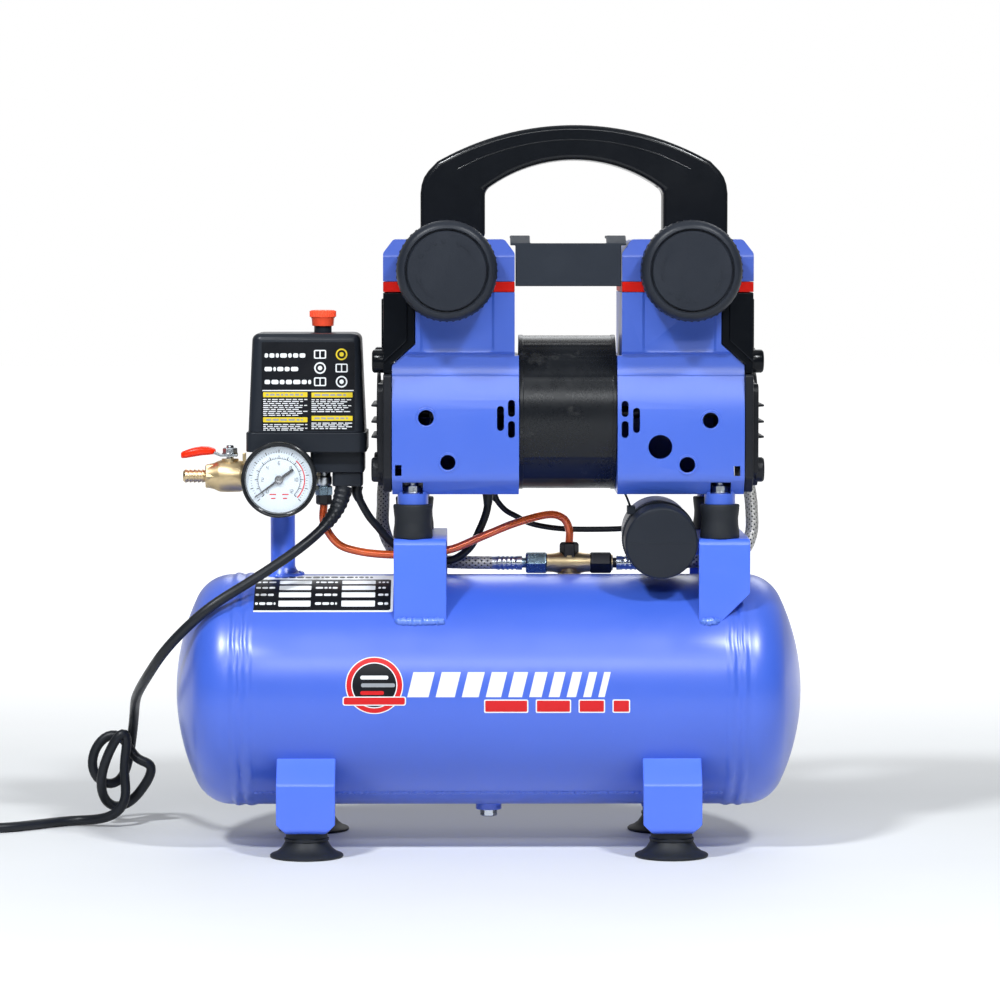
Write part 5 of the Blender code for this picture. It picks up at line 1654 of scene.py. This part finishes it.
left_hose = [
    (23.5, 20, 194.5), (0, 20, 194.5), (-25, 20, 195), (-48, 21, 196.5), (-66, 26, 203), (-74, 40, 218),
    (-74.5, 54, 233),
]
left_hose += [
    (-74, 64, 247), (-70, 69, 268), (-60, 71, 300), (-44, 71, 340), (-31, 70, 372), (-28.5, 70, 386),
    (-28.5, 70, 397.5),
]
right_hose = [
    (89.5, 20, 194.5), (108, 20, 194.5), (140, 22, 195), (165, 25, 196.5), (179, 31, 202),
    (185.5, 40, 214), (186.5, 51, 229),
]
right_hose += [
    (185.5, 62, 244), (181, 68.5, 264), (172, 71, 300), (155, 71, 340), (139, 70, 372),
    (136.5, 70, 386), (136.5, 70, 397.5),
]
for name, hose_route in (("left", left_hose), ("right", right_hose)):
    line = smooth_line(hose_route, 3)
    hose = finish_piece(
        f"air_hose_{name}", tube_between(line, 8.2, 20), hose_rubber, smooth=60, stands_for=[f"hose_{name}"]
    )
    wires = finish_piece(
        f"hose_braid_{name}", braid(smooth_line(hose_route, 0.9)[8:-8], 4.1), braid_wire, smooth=50
    )
    ends = []
    for spots in (line[:8], list(reversed(line[-8:]))):
        fine = smooth_line(spots, 0.8)
        widths = []
        for k in range(len(fine)):
            widths.append(
                10.2 if k < 5 else 9.3 + (0.9 if k % 4 < 2 else 0.0) if k < len(fine) - 3 else 9.2
            )
        ends.append(tube_between(fine, widths, 24))
    ferrules = finish_piece(f"hose_ferrules_{name}", gather(*ends), zinc, smooth=40)
    far = sum((b - a).length for a, b in zip(line, line[1:])) * MM
    [v * MM for v in hose_route[0]]
    [list(p * MM) for p in line]

# ---------------------------------------------------------------------------------------------
# The run capacitor: an aluminium can in a black plastic sleeve with a moulded cap, tied to the
# saddle, and the two rubber-sheathed leads that run to it and to the motor.
# ---------------------------------------------------------------------------------------------

cap_plastic = moulded("capacitor_black", (0.011, 0.014, 0.021), 0.44, 600, 0.06)
can_metal = metal("can_aluminium", (0.60, 0.61, 0.62), 0.38, "Y")
lean = Matrix.Rotation(math.radians(4.0), 4, "X") @ Matrix.Rotation(math.radians(1.0), 4, "Z")
lean = Matrix.Translation((116.9, -28, 216.2)) @ lean
cover = [
    (0, -34), (22.2, -34), (23.6, -33.6), (24.6, -32.4), (24.9, -30.6), (24.9, -13), (24.3, -12.2),
    (24.3, 6), (0, 6),
]
cover = gather(turned(cover, "Y", (0, 0, 0), 96), block((-23.4, -34.12, -0.25), (23.4, -33.9, 0.25)))
can = turned(
    [(0, 5), (23.9, 5), (23.9, 33.6), (23.3, 35.4), (22.6, 36), (20.8, 36), (20.2, 35), (0, 35)], "Y",
    (0, 0, 0), 96,
)
strap = turned([(24.4, -10.4), (25.7, -10.2), (25.7, -5.8), (24.4, -5.6)], "Y", (0, 0, 0), 96)
teeth = copies(block((25.5, -9.6, -0.5), (26.0, -6.4, 0.3)), 60, (0, 4 * step, 0), (0, 0, 0))
head = block((-22.4, -11.6, 17.0), (-16.8, -4.4, 22.4))
loose = tube_between(smooth_line([(-19.5, -8, 20), (-22, -8.4, 27), (-25.2, -9, 34)], 2), 1.7, 8)
for name, shape, look, covers in (
    ("capacitor_cap", cover, cap_plastic, ["capacitor"]), ("capacitor_can", can, can_metal, []),
    ("capacitor_tie", gather(strap, teeth, head, loose), cap_plastic, []),
):
    bmesh.ops.transform(shape, matrix=lean, verts=shape.verts)
    finish_piece(name, shape, look, bevel=0.25, smooth=35, stands_for=covers)
cable_black = sheath("cable_sheath", (0.009, 0.011, 0.014), 0.38)
motor_lead = [(-91, -7, 250), (-91, -7, 244), (-84, -3, 230), (-77, 0, 221), (-66, 5, 208.5), (-47, 8, 199)]
motor_lead += [(-28, 8, 196.7), (-14, 8, 205), (-6, 8, 219), (-1, 8, 233), (-0.5, 8, 245.9)]
can_lead = [
    (4, 25, 245.9), (4.3, 25, 240.5), (11.3, 27, 231.5), (19.7, 29, 226.5), (30.8, 31, 221),
    (51.6, 33, 217.5),
]
can_lead += [(80, 34, 217), (100, 30, 218), (112, 22, 219), (115.5, 8.6, 219)]
for name, lead, thick, node in (
    ("motor_lead", motor_lead, 5.5, "motor_cable"), ("capacitor_lead", can_lead, 4.0, "capacitor_cable")
):
    line = smooth_line(lead, 2.5)
    wire = finish_piece(name, tube_between(line, thick, 16), cable_black, smooth=60, stands_for=[node])
    far = sum((b - a).length for a, b in zip(line, line[1:])) * MM
    [v * MM for v in lead[0]]
    thick * MM
    [list(p * MM) for p in line]
boots = []
for spots, thick in (
    (smooth_line(motor_lead, 2)[:6], 8.4), (list(reversed(smooth_line(motor_lead, 2)[-6:])), 8.2),
    (smooth_line(can_lead, 2)[:5], 6.4),
):
    boots.append(tube_between(spots, [thick - 0.45 * k for k in range(len(spots))], 20))
finish_piece("lead_boots", gather(*boots), cable_black, smooth=50)
